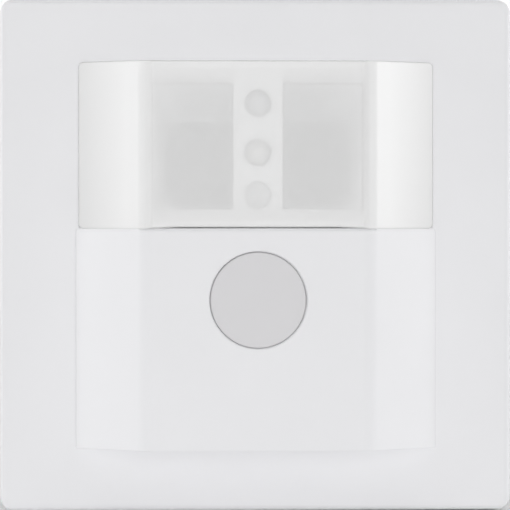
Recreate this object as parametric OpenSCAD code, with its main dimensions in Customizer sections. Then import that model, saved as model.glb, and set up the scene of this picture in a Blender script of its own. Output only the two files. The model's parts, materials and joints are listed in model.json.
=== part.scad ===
// Motion sensor light switch for a round flush wall box.
// Axes of the part: X to the right, Z up, the room on the -Y side and the wall plane at Y = 0.
// Each piece is drawn as it is seen on the wall, with x to the right, y up and z out of the
// wall towards the room, and on_wall() then stands it up.

/* [Cover frame] */
// Width and height of the square cover frame
frame_size = 80.5; // [78:0.5:86]
// Depth of the cover frame, from the wall to its front
frame_depth = 9.6; // [9:0.1:11]
// Radius of the frame's outer corners
frame_corner_r = 2.4; // [1:0.1:5]
// Wall thickness of the frame
frame_wall = 2.2; // [1.8:0.1:2.6]
// Rounding of the frame's front edges
frame_edge_r = 0.8; // [0.4:0.1:1.2]
// Wall round the frame's opening
opening_wall = 1.6; // [1.2:0.1:2]
// Thickness of the ledge that the front cover presses on
ledge_t = 1.4; // [1:0.1:1.8]
// Side of the corner posts that stand on the support ring
frame_post = 3; // [2:0.5:4]

/* [Front cover] */
// Width of the front cover
cover_w = 56.6; // [55.6:0.2:60]
// Height of the front cover
cover_h = 60.6; // [59.4:0.2:63]
// Width of the flat middle of the bulge
flat_w = 35.2; // [34:0.2:38]
// How far the flat middle stands in front of the side edges
bulge = 8.6; // [8:0.1:11]
// How far the side edges stand in front of the frame
shoulder = 0.4; // [0.2:0.1:1]
// Outer radius of the bend between the flat middle and a flank
bend_r = 4; // [3:0.1:5]
// Wall thickness of the front cover
cover_wall = 1.8; // [1.5:0.1:2]
// How far the front laps over its skirt, to hide the frame's opening
cover_lap = 0.9; // [0.6:0.05:1.1]
// Gap between the frame's opening and the skirt
reveal = 0.2; // [0.15:0.05:0.4]
// Depth of the cover's skirt behind the frame's front
skirt_drop = 4.6; // [4.2:0.1:4.8]
// Height of the joint between lens and plate above the middle
joint_height = 4.1; // [3.4:0.1:4.8]
// Width of the groove in that joint
joint_gap = 0.4; // [0.2:0.02:0.6]
// Depth of that groove
joint_depth = 1; // [0.4:0.05:1.5]
// Depth of the joint on the slanted flanks
joint_shallow = 0.2; // [0.1:0.05:0.4]
// Diameter of the bosses that take the board screws
boss_d = 4.8; // [4.2:0.1:5.4]

/* [Lens] */
// Wall thickness of the lens
lens_wall = 1.2; // [1:0.1:1.4]
// How much narrower the lens is than the cover, on each side
lens_inset = 0.4; // [0.3:0.05:0.6]
// Depth of the lens seat behind the frame's front
seat_drop = 1.2; // [0.9:0.1:1.5]
// Radius of the lens's corners
lens_corner_r = 1; // [0.4:0.1:1.6]
// Spacing of the ribs' furrows inside the lens, above the cross bars
furrow_pitch = 1.4; // [1:0.1:2]
// Depth of the furrows
furrow_depth = 0.25; // [0.1:0.05:0.4]
// Thickness of the snap tongues of the lens
tongue_t = 1.1; // [0.9:0.1:1.3]
// Length of each snap tongue along the side
tongue_len = 5; // [4:0.5:6]
// Height of the lower tongues above the lens's lower edge
lower_tongue = 6; // [5:0.5:8]
// Height of the upper tongues above the lens's lower edge
upper_tongue = 19; // [16:0.5:21]

/* [Push button] */
// Diameter of the button cap
button_d = 14.7; // [13:0.1:15.5]
// Width of the groove round the button cap
button_gap = 0.35; // [0.2:0.05:0.5]
// Depth of that groove
ring_depth = 0.2; // [0.1:0.05:0.5]
// Distance of the button below the middle
button_drop = 6.9; // [6.4:0.1:10]
// Travel of the button
button_travel = 0.8; // [0.4:0.1:1]
// Thickness of the cap
cap_t = 1.8; // [1.4:0.1:2.2]
// Wall of the cap's skirt
cap_skirt_t = 1.2; // [1:0.1:1.6]
// Length of the guide collar behind the cover
collar_len = 3; // [2:0.1:3.4]
// Wall of the guide collar
collar_wall = 1.4; // [1:0.1:1.8]
// Diameter of the stem that works the key switch
stem_d = 3.5; // [3:0.1:4.5]
// Width of the two lugs that keep the button in
lug_w = 4; // [3:0.5:5]
// Thickness of the lugs
lug_t = 1; // [0.8:0.1:1.2]

/* [Sensing] */
// Width of the middle pillar of the sensor carrier
pillar_w = 7.7; // [7:0.1:8.4]
// Width of each window beside the pillar
window_w = 12.6; // [12.2:0.1:13]
// Rim of the carrier above the windows, from the lens's upper edge
rim_top = 3.5; // [3.3:0.1:3.9]
// Rim below the windows, from the lens's lower edge
rim_bottom = 2.9; // [2.6:0.1:3.4]
// Height of the cross bar in the windows above the middle
bar_height = 21.1; // [20:0.1:23]
// Width of the cross bar
cross_bar = 0.6; // [0.4:0.1:1]
// Wall of the sensor carrier
carrier_wall = 1.2; // [1:0.1:1.6]
// Diameter of the three round wells in the pillar
well_d = 4.2; // [4:0.1:5]
// Height of the remote receiver above the middle
receiver_height = 23.7; // [22.5:0.1:25]
// Height of the status lamp above the middle
lamp_height = 16; // [15.2:0.1:17.5]
// Height of the brightness sensor above the middle
light_height = 9.4; // [9:0.1:10.4]
// Diameter of the lamp and its two neighbours
lamp_d = 3; // [2.6:0.1:3.4]
// Wall of the dark sensor hoods
baffle_wall = 0.8; // [0.6:0.1:1]
// Diameter of a motion sensor's base
pir_d = 9.2; // [8.6:0.1:9.4]
// Diameter of its metal can
pir_can_d = 8.2; // [7.8:0.1:8.4]
// Height of the sensor with its base
pir_h = 4.8; // [4:0.1:5.2]
// Tilt of each sensor to its side, in degrees
pir_tilt = 15; // [8:1:18]
// Width of the filter window in the can
pir_window_w = 4.6; // [4:0.1:5]
// Height of the filter window
pir_window_h = 3.6; // [3:0.1:4]

/* [Electronics] */
// Thickness of both circuit boards
board_t = 1.6; // [1.2:0.1:1.8]
// Height of the sensor board above the rear cover's floor
board_lift = 2.2; // [2:0.1:2.4]
// Side of a trimmer's body
trimmer_w = 6.6; // [6.2:0.1:7.4]
// Height of a trimmer
trimmer_h = 3; // [2.8:0.1:3.2]
// Diameter of a trimmer's rotor
rotor_d = 4.4; // [4:0.1:5]
// Spacing of the trimmers
trimmer_pitch = 12.5; // [11:0.5:14]
// Side of the key switch
switch_w = 6.2; // [5.6:0.1:6.8]
// Height of the key switch's body
switch_h = 3.6; // [3.2:0.1:3.9]
// Diameter of the switch plunger
plunger_d = 3.4; // [3:0.1:3.8]
// How far the plunger stands out of the switch
plunger_h = 1.6; // [1.4:0.1:1.9]
// Number of plug pins
pin_count = 6; // [4:1:6]
// Spacing of the plug pins
pin_pitch = 2.54; // [2.5:0.01:2.6]
// Side of a square plug pin
pin_w = 0.64; // [0.5:0.02:0.8]
// Depth of the pins in the socket
pin_reach = 4.5; // [3.5:0.1:4.8]
// Diameter of the thin component leads
lead_d = 0.5; // [0.4:0.05:0.6]
// Thread diameter of the board screws
board_screw_d = 2.2; // [2:0.1:2.4]

/* [Rear cover] */
// Thickness of the rear cover's floor
rear_wall = 1.4; // [1.2:0.1:1.6]
// Thickness of the rear cover's sides
rear_side = 1.2; // [1:0.1:1.4]
// How far the rear cover's sides reach into the skirt
rear_lap = 1.2; // [1:0.1:1.4]
// Width of a latch arm
latch_w = 6; // [4:0.5:7]
// Thickness of a latch arm
latch_t = 1.2; // [1:0.1:1.4]
// How far a latch arm reaches behind the wall plane
latch_reach = 1.2; // [0.8:0.1:2]
// Distance of the latch arms from the middle
latch_offset = 9; // [8:0.5:10]

/* [Wall insert] */
// Side of the square support ring
ring_size = 71; // [69:0.5:72]
// Sheet thickness of the support ring
ring_t = 1; // [0.8:0.1:1.2]
// Spacing of the wall box's screws
fixing_pitch = 60; // [59:0.5:61]
// Width of the screw slots
fixing_slot_w = 3.6; // [3.2:0.1:4]
// Length of the screw slots
fixing_slot_len = 6.5; // [5:0.1:7]
// Width across the insert housing's flats
pot_size = 44; // [43.4:0.2:45]
// Diameter across its round corners
pot_d = 56; // [55:0.5:57]
// Depth of the insert behind the wall plane
pot_depth = 31; // [30:0.5:36]
// Wall of the insert housing
pot_wall = 1.6; // [1.4:0.1:1.8]
// Side of the housing's flange
flange_size = 50; // [49:0.2:50.4]
// Thickness of the flange
flange_t = 1.2; // [1.1:0.1:1.5]
// Spacing of the four rivets
rivet_pitch = 42.8; // [42.6:0.1:43.4]
// Shank diameter of a rivet
rivet_d = 2.8; // [2.4:0.1:3]
// Width of the step in the housing's mouth that the insert cover sits on
cover_step = 0.7; // [0.5:0.1:0.8]
// Thickness of the insert cover
insert_cover_t = 1.8; // [1.4:0.1:2]
// Height of the posts between the insert cover and the power board
power_lift = 3.6; // [3.4:0.1:4.2]

/* [Power parts] */
// Relay length
relay_len = 28; // [26:0.5:29]
// Relay width
relay_w = 10; // [9.4:0.1:10.4]
// Relay height
relay_h = 15; // [12:0.5:18]
// Film capacitor length
film_len = 13; // [11:0.5:14]
// Film capacitor width
film_w = 6; // [5:0.1:6.4]
// Film capacitor height
film_h = 11; // [9:0.5:14]
// Storage capacitor diameter
storage_d = 8; // [7:0.5:8.5]
// Storage capacitor height
storage_h = 12.5; // [10:0.5:16]
// Varistor disc diameter
varistor_d = 10; // [8:0.5:10.5]
// Varistor disc thickness
varistor_t = 4; // [3:0.5:4.5]
// Fuse diameter
fuse_d = 8; // [7:0.1:8.2]
// Fuse height
fuse_h = 7.6; // [6:0.2:9]
// Choke diameter
choke_d = 7; // [6:0.5:7.4]
// Choke height
choke_h = 10; // [8:0.5:12]
// Rectifier width
rectifier_w = 5; // [4:0.1:5.4]
// Rectifier length
rectifier_len = 7; // [6:0.1:7.6]
// Rectifier height
rectifier_h = 3; // [2.4:0.1:3.6]

/* [Terminals] */
// Spacing of the screw terminals
terminal_pitch = 7.6; // [7.4:0.1:7.8]
// Diameter of a terminal's wire entry
wire_d = 3.4; // [3:0.1:3.6]
// Closing travel of a wire clamp
clamp_travel = 2.7; // [2:0.1:2.9]
// Length of a wire clamp along the wire
clamp_len = 6; // [5:0.1:7]
// Wall of a wire clamp
clamp_wall = 0.8; // [0.6:0.05:0.85]
// Threaded floor of a wire clamp
clamp_floor = 1.5; // [1.2:0.1:1.6]
// Thickness of the contact bar
contact_t = 1; // [0.8:0.1:1.2]
// Thread diameter of a terminal screw
terminal_screw_d = 2.5; // [2:0.1:2.8]
// Head diameter of a terminal screw
terminal_head_d = 4.2; // [3.8:0.1:4.6]
// Wall of a terminal body round the screw's head
terminal_base = 1.6; // [1.4:0.1:1.8]
// Thin walls of a terminal body
terminal_wall = 0.8; // [0.6:0.05:0.85]
// Wall round a terminal's wire entry
entry_t = 3.5; // [2.8:0.1:4]
// Depth of the funnel at a wire entry
funnel_t = 0.7; // [0.5:0.1:0.9]

/* [Clearances] */
// Clearance of pieces that sit in each other
fit = 0.2; // [0.15:0.05:0.25]
// Clearance of faces that nearly touch
slip = 0.1; // [0.05:0.05:0.15]
// Gap between the front module and the wall insert
module_gap = 0.3; // [0.2:0.05:0.5]

/* [Hidden] */
terminals = 4;
$fn = 48;
// Cuts run this far past a face
over = 1;

// Levels, measured out of the wall
insert_front = ring_t + flange_t;
module_back = insert_front + module_gap;
rear_floor = module_back + rear_wall;
board_back = rear_floor + board_lift;
board_front = board_back + board_t;
ledge_z = frame_depth - skirt_drop;
skirt_z = ledge_z + slip;
lap_z = skirt_z + rear_lap;
seat_z = frame_depth - seat_drop;
flat_z = frame_depth + shoulder + bulge;
lens_inside = flat_z - lens_wall;
lap_back = frame_depth + slip;

// Outline of the front
flank_a = atan2(bulge, (cover_w - flat_w) / 2);
lens_half = cover_w / 2 - lens_inset;
lens_low = joint_height + joint_gap / 2;
lens_high = cover_h / 2;
plate_high = joint_height - joint_gap / 2;
skirt_w = cover_w - 2 * cover_lap;
skirt_h = cover_h - 2 * cover_lap;
skirt_in = skirt_w / 2 - cover_wall;
rear_w = skirt_w - 2 * (cover_wall + fit);
rear_h = skirt_h - 2 * (cover_wall + fit);
board_w = rear_w - 2 * (rear_side + 2 * fit);
board_h = rear_h - 2 * (rear_side + 2 * fit);
board_corner_r = 2;

// Snaps between the skirt, the lens and the rear cover
snap_len = 6;
snap_t = 0.35;
snap_h = 0.6;
snap_y = 14;
tongue_z = lap_z + 2 * fit;
barb_t = 0.6;
barb_h = 0.7;
tongue_x = skirt_in - slip - tongue_t;
tongue_root = 1.2;
tongue_places = [lens_low + lower_tongue, lens_low + upper_tongue];

// Button and key switch
button_y = -button_drop;
button_hole_d = button_d + 2 * slip;
button_recess = 0.05;
collar_z = flat_z - cover_wall - collar_len;
plunger_z = board_front + switch_h + plunger_h;
plunger_in = 1.8;
plunger_back = board_front + switch_h - plunger_in;
lug_reach = button_hole_d / 2 + collar_wall / 2;

// Sensor carrier
carrier_low = lens_low + lens_wall + fit;
carrier_high = lens_high - lens_wall - fit;
carrier_foot = skirt_h / 2 - cover_wall - fit;
carrier_half = pillar_w / 2 + window_w + carrier_wall;
carrier_floor = board_front + slip + carrier_wall;
carrier_front = lens_inside - fit;
window_low = lens_low + rim_bottom;
window_high = lens_high - rim_top;
cross_bar_t = 1.1;
ear_d = boss_d;
ear_x = carrier_half + boss_d / 2 - carrier_wall / 2;
ear_y = 17;
ear_h = 5;
baffle_front = carrier_front - cross_bar_t - fit;
pir_shift = 0.7;
pir_x = pillar_w / 2 + window_w / 2 - pir_shift;
pir_y = (window_low + bar_height) / 2;
pir_base_t = 0.8;
pir_hole_d = pir_d + 2 * fit;
pir_z = carrier_floor + pir_d / 2 * sin(pir_tilt);
pir_window_t = 0.4;
pir_lead_r = 2.54;
lead_tail = 0.8;
lamp_gap = 1.4;
lamp_stand = 2.6;
lamp_rim = 0.5;
lamp_rim_t = 0.8;
lamp_lead = 0.75;

// Boards, plug and trimmers
screw_head_d = 4;
screw_head_h = 1.4;
screw_bite = 4;
screw_side_room = 5.2;
screw_end_room = 2.7;
cover_screw_x = board_w / 2 - screw_side_room;
cover_screw_y = screw_end_room - board_h / 2;
trimmer_y = 4.6;
rotor_t = 1;
rotor_pin_d = 2;
rotor_slot_w = 0.7;
rotor_slot_t = 0.5;
plug_y = -14;
plug_w = pin_count * pin_pitch + 2 * fit;
plug_h = 2.6;
socket_wall = 1;
socket_h = 5;
post_d = 3.6;
post_end_room = 3.2;
post_x = cover_screw_x - screw_head_d / 2 - post_d;
post_y = board_h / 2 - post_end_room;
chip_w = 7;
chip_t = 1;
chip_y = -3;

// Wall insert
pot_back = -pot_depth;
cover_ledge = insert_front - insert_cover_t;
power_front = cover_ledge - power_lift;
power_back = power_front - board_t;
latch_inset = 1.3;
latch_y = rear_h / 2 - latch_inset;
latch_bump = 0.25;
latch_slot = 0.4;
ring_corner_r = 3;
flange_corner_r = 4;
rivet_head_d = 4.8;
rivet_head_t = 0.6;
insert_post_d = 3.6;
insert_post_x = 15;
insert_post_y = 12;

// Places of the power parts on their board: the relay at the top, a middle row and a lower row
part_gap = 1;
wall_room = 1.6;
side_room = 1.3;
pot_inside = pot_size / 2 - pot_wall;
relay_place = [0, pot_inside - wall_room - relay_w / 2];
middle_row = relay_place[1] - relay_w / 2 - part_gap;
film_place = [side_room + film_len / 2 - pot_inside, middle_row - film_w / 2];
storage_place = [film_place[0] + film_len / 2 + part_gap + storage_d / 2, middle_row - storage_d / 2];
varistor_place = [storage_place[0] + storage_d / 2 + part_gap + varistor_d / 2, middle_row - varistor_t / 2];
fuse_place = [film_place[0], middle_row - film_w - part_gap - fuse_d / 2];
choke_place = [(storage_place[0] + varistor_place[0]) / 2, middle_row - storage_d - part_gap - choke_d / 2];
rectifier_place = [choke_place[0] + choke_d / 2 + part_gap + rectifier_w / 2,
    middle_row - varistor_t - part_gap - rectifier_len / 2];

// Terminals, measured up from the housing's lower wall
terminal_w = terminal_pitch - fit;
terminal_low = -(pot_size / 2 - pot_wall) + slip;
cavity_low = terminal_low + terminal_base;
clamp_low = cavity_low + slip + clamp_travel;
contact_low = clamp_low + clamp_floor + 2 * slip;
contact_high = contact_low + contact_t;
clamp_hole_high = contact_high + wire_d + 2 * fit;
clamp_high = clamp_hole_high + clamp_wall;
cavity_high = clamp_high + slip;
terminal_high = cavity_high + terminal_wall;
wire_y = contact_high + fit + wire_d / 2;
cavity_w = terminal_w - 2 * terminal_wall;
clamp_w = cavity_w - 2 * fit;
clamp_hole_w = clamp_w - 2 * clamp_wall;
contact_w = clamp_hole_w - 2 * fit;
cavity_back = pot_back + entry_t;
clamp_back = cavity_back + fit;
cavity_front = clamp_back + clamp_len + fit;
terminal_front = cavity_front + terminal_wall;
terminal_screw_z = clamp_back + clamp_len / 2;
head_slot_w = 0.7;
head_slot_t = 0.8;

function terminal_x(i) = (i - (terminals + 1) / 2) * terminal_pitch;

// Stands a piece up on the wall
module on_wall() rotate([90, 0, 0]) children();

// A box from its low corner to its high corner
module block(low, high) translate(low) cube(high - low);

// A box centred on the middle, from level z0 to level z1
module slab(w, h, z0, z1) block([-w / 2, -h / 2, z0], [w / 2, h / 2, z1]);

// A round bar square to the wall
module rod(x, y, z0, z1, d) translate([x, y, z0]) cylinder(d = d, h = z1 - z0);

// A round bar pointing up, from y0 to y1
module upright_rod(x, z, y0, y1, d) translate([x, y1, z]) rotate([90, 0, 0]) cylinder(d = d, h = y1 - y0);

// A rectangle with round corners
module rounded(w, h, r) {
    square([w - 2 * r, h], center = true);
    square([w, h - 2 * r], center = true);
    for (sx = [-1, 1], sy = [-1, 1])
        translate([sx * (w / 2 - r), sy * (h / 2 - r)]) circle(r);
}

module rounded_slab(w, h, r, z0, z1) translate([0, 0, z0]) linear_extrude(z1 - z0) rounded(w, h, r);

// An outline across the wall, drawn upwards from y0 to y1
module upwards(y0, y1) translate([0, y1, 0]) rotate([90, 0, 0]) linear_extrude(y1 - y0) children();

module both_sides() {
    children();
    mirror([1, 0, 0]) children();
}

module four_corners() {
    both_sides() children();
    mirror([0, 1, 0]) both_sides() children();
}

// Side view of the frame, with rounded front edges
module frame_side() {
    reach = frame_size / 2 - frame_edge_r;
    low = frame_depth - frame_edge_r;
    translate([-frame_size / 2, 0]) square([frame_size, low]);
    translate([-reach, 0]) square([2 * reach, frame_depth]);
    for (s = [-1, 1]) translate([s * reach, low]) circle(frame_edge_r);
}

// Cross-section of the front: a flat middle, two round bends and two slanted flanks.
// inset moves every face inwards, half is the half width and base the rear level.
module front_section(inset, half, base) {
    r = max(bend_r - inset, slip);
    top = flat_z - inset;
    corner = flat_w / 2 - inset * tan(flank_a / 2);
    run = r * tan(flank_a / 2);
    side = half - inset;
    side_top = top - (side - corner) * tan(flank_a);
    bend_low = [corner + run * cos(flank_a), top - run * sin(flank_a)];
    polygon([[-side, base], [side, base], [side, side_top], bend_low, [corner - run, top],
        [run - corner, top], [-bend_low[0], bend_low[1]], [-side, side_top]]);
    for (s = [-1, 1]) translate([s * (corner - run), top - r]) circle(r);
}

module cover_frame() color("white") on_wall() {
    opening_w = skirt_w + 2 * reveal;
    opening_h = skirt_h + 2 * reveal;
    hollow = frame_size - 2 * frame_wall;
    roof = frame_depth - frame_wall;
    hollow_r = max(frame_corner_r - frame_wall, frame_edge_r);
    difference() {
        intersection() {
            upwards(-frame_size / 2, frame_size / 2) frame_side();
            rotate([0, 0, 90]) upwards(-frame_size / 2, frame_size / 2) frame_side();
            rounded_slab(frame_size, frame_size, frame_corner_r, 0, frame_depth);
        }
        difference() {
            rounded_slab(hollow, hollow, hollow_r, -over, roof);
            slab(opening_w + 2 * opening_wall, opening_h + 2 * opening_wall, ledge_z - ledge_t, roof);
            four_corners() frame_corner_post();
        }
        slab(opening_w, opening_h, ledge_z, frame_depth + over);
        slab(rear_w + 4 * fit, rear_h + 4 * fit, -over, frame_depth);
        rounded_slab(ring_size + 4 * fit, ring_size + 4 * fit, ring_corner_r, -over, ring_t + slip);
    }
}

module frame_corner_post() {
    place = ring_size / 2 - frame_post - ring_corner_r;
    block([place, place, ring_t + slip], [place + frame_post, place + frame_post, frame_depth]);
}

// Step of the cover that closes the joint behind, deeper in the flat middle than on the flanks
module joint_floor() upwards(plate_high - over, lens_low - slip / 2) intersection() {
    front_section(joint_shallow, cover_w / 2, lap_back);
    translate([-cover_w / 2, lap_back]) square([cover_w, flat_z - joint_depth - lap_back]);
}

module cover_shell() difference() {
    union() {
        upwards(-cover_h / 2, plate_high) front_section(0, cover_w / 2, lap_back);
        joint_floor();
        block([-skirt_w / 2, -skirt_h / 2, skirt_z], [skirt_w / 2, lens_low - slip / 2, lap_back + slip]);
        slab(skirt_w, skirt_h, skirt_z, seat_z);
    }
    upwards(-skirt_h / 2 + cover_wall, plate_high - cover_wall)
        front_section(cover_wall, skirt_w / 2, skirt_z - over);
    slab(2 * skirt_in, skirt_h - 2 * cover_wall, skirt_z - over, board_front + fit);
    block([-skirt_in, lens_low - slip / 2, skirt_z - over],
        [skirt_in, skirt_h / 2 - cover_wall, seat_z + over]);
}

module front_cover() color("white") on_wall() difference() {
    union() {
        cover_shell();
        rod(0, button_y, collar_z, flat_z, button_hole_d + 2 * collar_wall);
        intersection() {
            both_sides() rod(cover_screw_x, cover_screw_y, board_front + slip, flat_z, boss_d);
            upwards(-cover_h / 2, plate_high) front_section(cover_wall / 2, cover_w / 2, skirt_z);
        }
    }
    rod(0, button_y, collar_z - over, flat_z + over, button_hole_d);
    rod(0, button_y, flat_z - ring_depth, flat_z + over, button_d + 2 * button_gap);
    both_sides() rod(cover_screw_x, cover_screw_y, board_front, board_front + screw_bite + over,
        board_screw_d + slip);
    four_corners() rear_snap(fit);
    both_sides() for (y = tongue_places) lens_barb(y, fit);
}

// Snap of the rear cover, or with room round it its pocket in the skirt
module rear_snap(room) {
    out = skirt_in + snap_t + room;
    mid = (skirt_z + lap_z) / 2;
    block([rear_w / 2 - slip, snap_y - snap_len / 2 - room, mid - snap_h / 2 - room / 2],
        [out, snap_y + snap_len / 2 + room, mid + snap_h / 2 + room / 2]);
}

// Barb of a lens tongue, or with room round it its pocket in the skirt
module lens_barb(y, room)
    block([skirt_in - slip - over / 2, y - tongue_len / 2 - room, tongue_z + slip - room],
        [skirt_in - slip + barb_t + room, y + tongue_len / 2 + room, tongue_z + barb_h + room]);

module lens_tongue(y) {
    low = y - tongue_len / 2;
    high = y + tongue_len / 2;
    root = seat_z + slip;
    block([tongue_x, low, tongue_z], [skirt_in - slip, high, root + tongue_root]);
    block([tongue_x, low, root], [lens_half - lens_wall / 2, high, root + tongue_root]);
    lens_barb(y, 0);
}

module lens() color("ghostwhite") on_wall() {
    furrow_w = furrow_pitch / 3;
    lens_h = lens_high - lens_low;
    difference() {
        intersection() {
            upwards(lens_low, lens_high) front_section(0, lens_half, seat_z + slip);
            translate([0, lens_low + lens_h / 2, 0])
                rounded_slab(2 * lens_half, lens_h, lens_corner_r, seat_z, flat_z + over);
        }
        upwards(lens_low + lens_wall, lens_high - lens_wall)
            front_section(lens_wall, lens_half, seat_z - over);
        both_sides() block([skirt_w / 2, 0, seat_z], [cover_w, cover_h, lap_back]);
        block([-cover_w, skirt_h / 2, seat_z], [cover_w, cover_h, lap_back]);
        both_sides() for (y = [bar_height + furrow_w : furrow_pitch : window_high - furrow_w])
            block([pillar_w / 2, y, lens_inside - over],
                [flat_w / 2 - bend_r / 2, y + furrow_w, lens_inside + furrow_depth]);
    }
    both_sides() for (y = tongue_places) lens_tongue(y);
}

module push_button() color("lightgray") on_wall() {
    skirt_end = collar_z - slip - lug_t;
    cap_z = flat_z - button_recess - cap_t;
    rod(0, button_y, cap_z, flat_z - button_recess, button_d);
    difference() {
        rod(0, button_y, skirt_end, cap_z + slip, button_d);
        rod(0, button_y, skirt_end - over, cap_z + over, button_d - 2 * cap_skirt_t);
    }
    rod(0, button_y, plunger_z + slip / 2, cap_z + slip, stem_d);
    both_sides() block([button_d / 2 - cap_skirt_t / 2, button_y - lug_w / 2, skirt_end],
        [lug_reach, button_y + lug_w / 2, skirt_end + lug_t]);
}

// White wings behind the lens's flanks
module carrier_wings() intersection() {
    upwards(carrier_low, carrier_high) difference() {
        front_section(lens_wall + fit, lens_half, seat_z);
        front_section(lens_wall + fit + carrier_wall, lens_half, seat_z - over);
    }
    slab(cover_w, cover_h, seat_z + slip + tongue_root + fit, carrier_front);
}

module carrier_well(room, z0, z1)
    block([pillar_w / 2 + room, window_low + room, z0],
        [pillar_w / 2 + window_w - room, window_high - room, z1]);

module sensor_carrier() color("whitesmoke") on_wall() {
    difference() {
        union() {
            intersection() {
                upwards(carrier_low, carrier_high)
                    front_section(lens_wall + fit, lens_half, board_front + slip);
                slab(2 * carrier_half, cover_h, board_front + slip, carrier_front);
                union() {
                    slab(cover_w, 2 * carrier_foot, board_front, flat_z);
                    slab(cover_w, cover_h, seat_z + fit, flat_z);
                }
            }
            carrier_wings();
            both_sides() rod(ear_x, ear_y, board_front + slip, board_front + ear_h, ear_d);
        }
        both_sides() carrier_well(0, carrier_floor, flat_z);
        both_sides() rod(pir_x, pir_y, board_front - over, carrier_floor + over, pir_hole_d);
        for (y = [receiver_height, lamp_height, light_height])
            rod(0, y, board_front - over, flat_z, well_d);
        both_sides() rod(ear_x, ear_y, board_front - over, board_front + screw_bite + over / 2,
            board_screw_d + slip);
    }
    both_sides() block([pillar_w / 2 - slip, bar_height - cross_bar / 2, carrier_front - cross_bar_t],
        [pillar_w / 2 + window_w + slip, bar_height + cross_bar / 2, carrier_front - slip]);
}

module pir_baffle() difference() {
    carrier_well(slip, carrier_floor + slip, baffle_front);
    carrier_well(slip + baffle_wall, carrier_floor + slip + baffle_wall, flat_z);
    rod(pir_x, pir_y, board_front, carrier_floor + over + baffle_wall, pir_hole_d);
}

module pir_baffle_right() color("dimgray") on_wall() pir_baffle();

module pir_baffle_left() color("dimgray") on_wall() mirror([1, 0, 0]) pir_baffle();

module pir_place() translate([pir_x, pir_y, pir_z]) rotate([0, pir_tilt, 0]) children();

// Centres of a motion sensor's three leads
pir_leads = [for (a = [45, 135, 225]) [pir_lead_r * cos(a), pir_lead_r * sin(a)]];

module pir_sensor() {
    difference() {
        pir_place() union() {
            rod(0, 0, 0, pir_base_t, pir_d);
            rod(0, 0, 0, pir_h, pir_can_d);
        }
        pir_place() slab(pir_window_w, pir_window_h, pir_h - pir_window_t, pir_h + over);
    }
    for (p = pir_leads)
        rod(pir_x + p[0], pir_y + p[1], board_back - lead_tail,
            pir_z - p[0] * tan(pir_tilt) + pir_base_t / 2, lead_d);
}

module pir_window() pir_place()
    slab(pir_window_w - slip, pir_window_h - slip, pir_h - pir_window_t, pir_h - slip);

module pir_sensor_right() color("darkslategray") on_wall() pir_sensor();

module pir_sensor_left() color("darkslategray") on_wall() mirror([1, 0, 0]) pir_sensor();

module pir_window_right() color("black") on_wall() pir_window();

module pir_window_left() color("black") on_wall() mirror([1, 0, 0]) pir_window();

// A small round component on two leads in one of the pillar's wells
module well_part(y, domed) {
    tip = lens_inside - lamp_gap;
    body_top = domed ? tip - lamp_d / 2 : tip;
    stand = board_front + lamp_stand;
    rod(0, y, stand, body_top, lamp_d);
    rod(0, y, stand, stand + lamp_rim_t, lamp_d + lamp_rim);
    if (domed) translate([0, y, body_top]) sphere(d = lamp_d);
    for (s = [-1, 1]) rod(s * lamp_lead, y, board_back - lead_tail, stand + lamp_rim_t / 2, lead_d);
}

module status_led() color("linen") on_wall() well_part(lamp_height, true);

module light_sensor() color("lightcyan") on_wall() well_part(light_height, false);

module ir_receiver() color("dimgray") on_wall() well_part(receiver_height, true);

module sensor_board() color("honeydew") on_wall() difference() {
    rounded_slab(board_w, board_h, board_corner_r, board_back, board_front);
    both_sides() {
        rod(cover_screw_x, cover_screw_y, board_back - over, board_front + over, board_screw_d + fit);
        rod(ear_x, ear_y, board_back - over, board_front + over, board_screw_d + fit);
        for (p = pir_leads)
            rod(pir_x + p[0], pir_y + p[1], board_back - over, board_front + over, lead_d + fit);
        for (y = [receiver_height, lamp_height, light_height])
            rod(lamp_lead, y, board_back - over, board_front + over, lead_d + fit);
    }
    for (i = [0 : pin_count - 1]) plug_pin(i, fit / 2);
}

module controller_chip() color("black") on_wall() translate([0, chip_y, 0])
    slab(chip_w, chip_w, board_back - chip_t, board_back);

module switch_body() color("black") on_wall() translate([0, button_y, 0]) difference() {
    slab(switch_w, switch_w, board_front, board_front + switch_h);
    rod(0, 0, plunger_back - button_travel - fit, board_front + switch_h + over, plunger_d + 2 * slip);
}

module switch_plunger() color("ivory") on_wall()
    rod(0, button_y, plunger_back, plunger_z, plunger_d);

// A trimmer's place in the row of three, -1 to 1
module trimmer_place(i) translate([i * trimmer_pitch, trimmer_y, board_back - trimmer_h]) children();

module trimmer_bodies() color("royalblue") on_wall() for (i = [-1 : 1]) trimmer_place(i) difference() {
    slab(trimmer_w, trimmer_w, 0, trimmer_h);
    rod(0, 0, -over, rotor_t + slip, rotor_d + 2 * slip);
    rod(0, 0, 0, trimmer_h - slip, rotor_pin_d + slip);
}

module trimmer_rotor(i) trimmer_place(i) difference() {
    union() {
        rod(0, 0, 0, rotor_t, rotor_d);
        rod(0, 0, 0, trimmer_h - 2 * slip, rotor_pin_d);
    }
    block([-rotor_slot_w / 2, -rotor_d, -over], [rotor_slot_w / 2, rotor_d / 4, rotor_slot_t]);
}

module time_trimmer() color("white") on_wall() trimmer_rotor(-1);

module light_trimmer() color("white") on_wall() trimmer_rotor(0);

module range_trimmer() color("white") on_wall() trimmer_rotor(1);

function pin_x(i) = (i - (pin_count - 1) / 2) * pin_pitch;

// A plug pin, or with room round it its hole
module plug_pin(i, room) {
    half = pin_w / 2 + room;
    block([pin_x(i) - half, plug_y - half, insert_front - pin_reach - room],
        [pin_x(i) + half, plug_y + half, board_front + lead_tail + room]);
}

module plug_body() color("black") on_wall() difference() {
    translate([0, plug_y, 0]) slab(plug_w, plug_h, rear_floor, board_back);
    for (i = [0 : pin_count - 1]) plug_pin(i, slip / 2);
}

module plug_pins() color("gold") on_wall() for (i = [0 : pin_count - 1]) plug_pin(i, 0);

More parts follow.
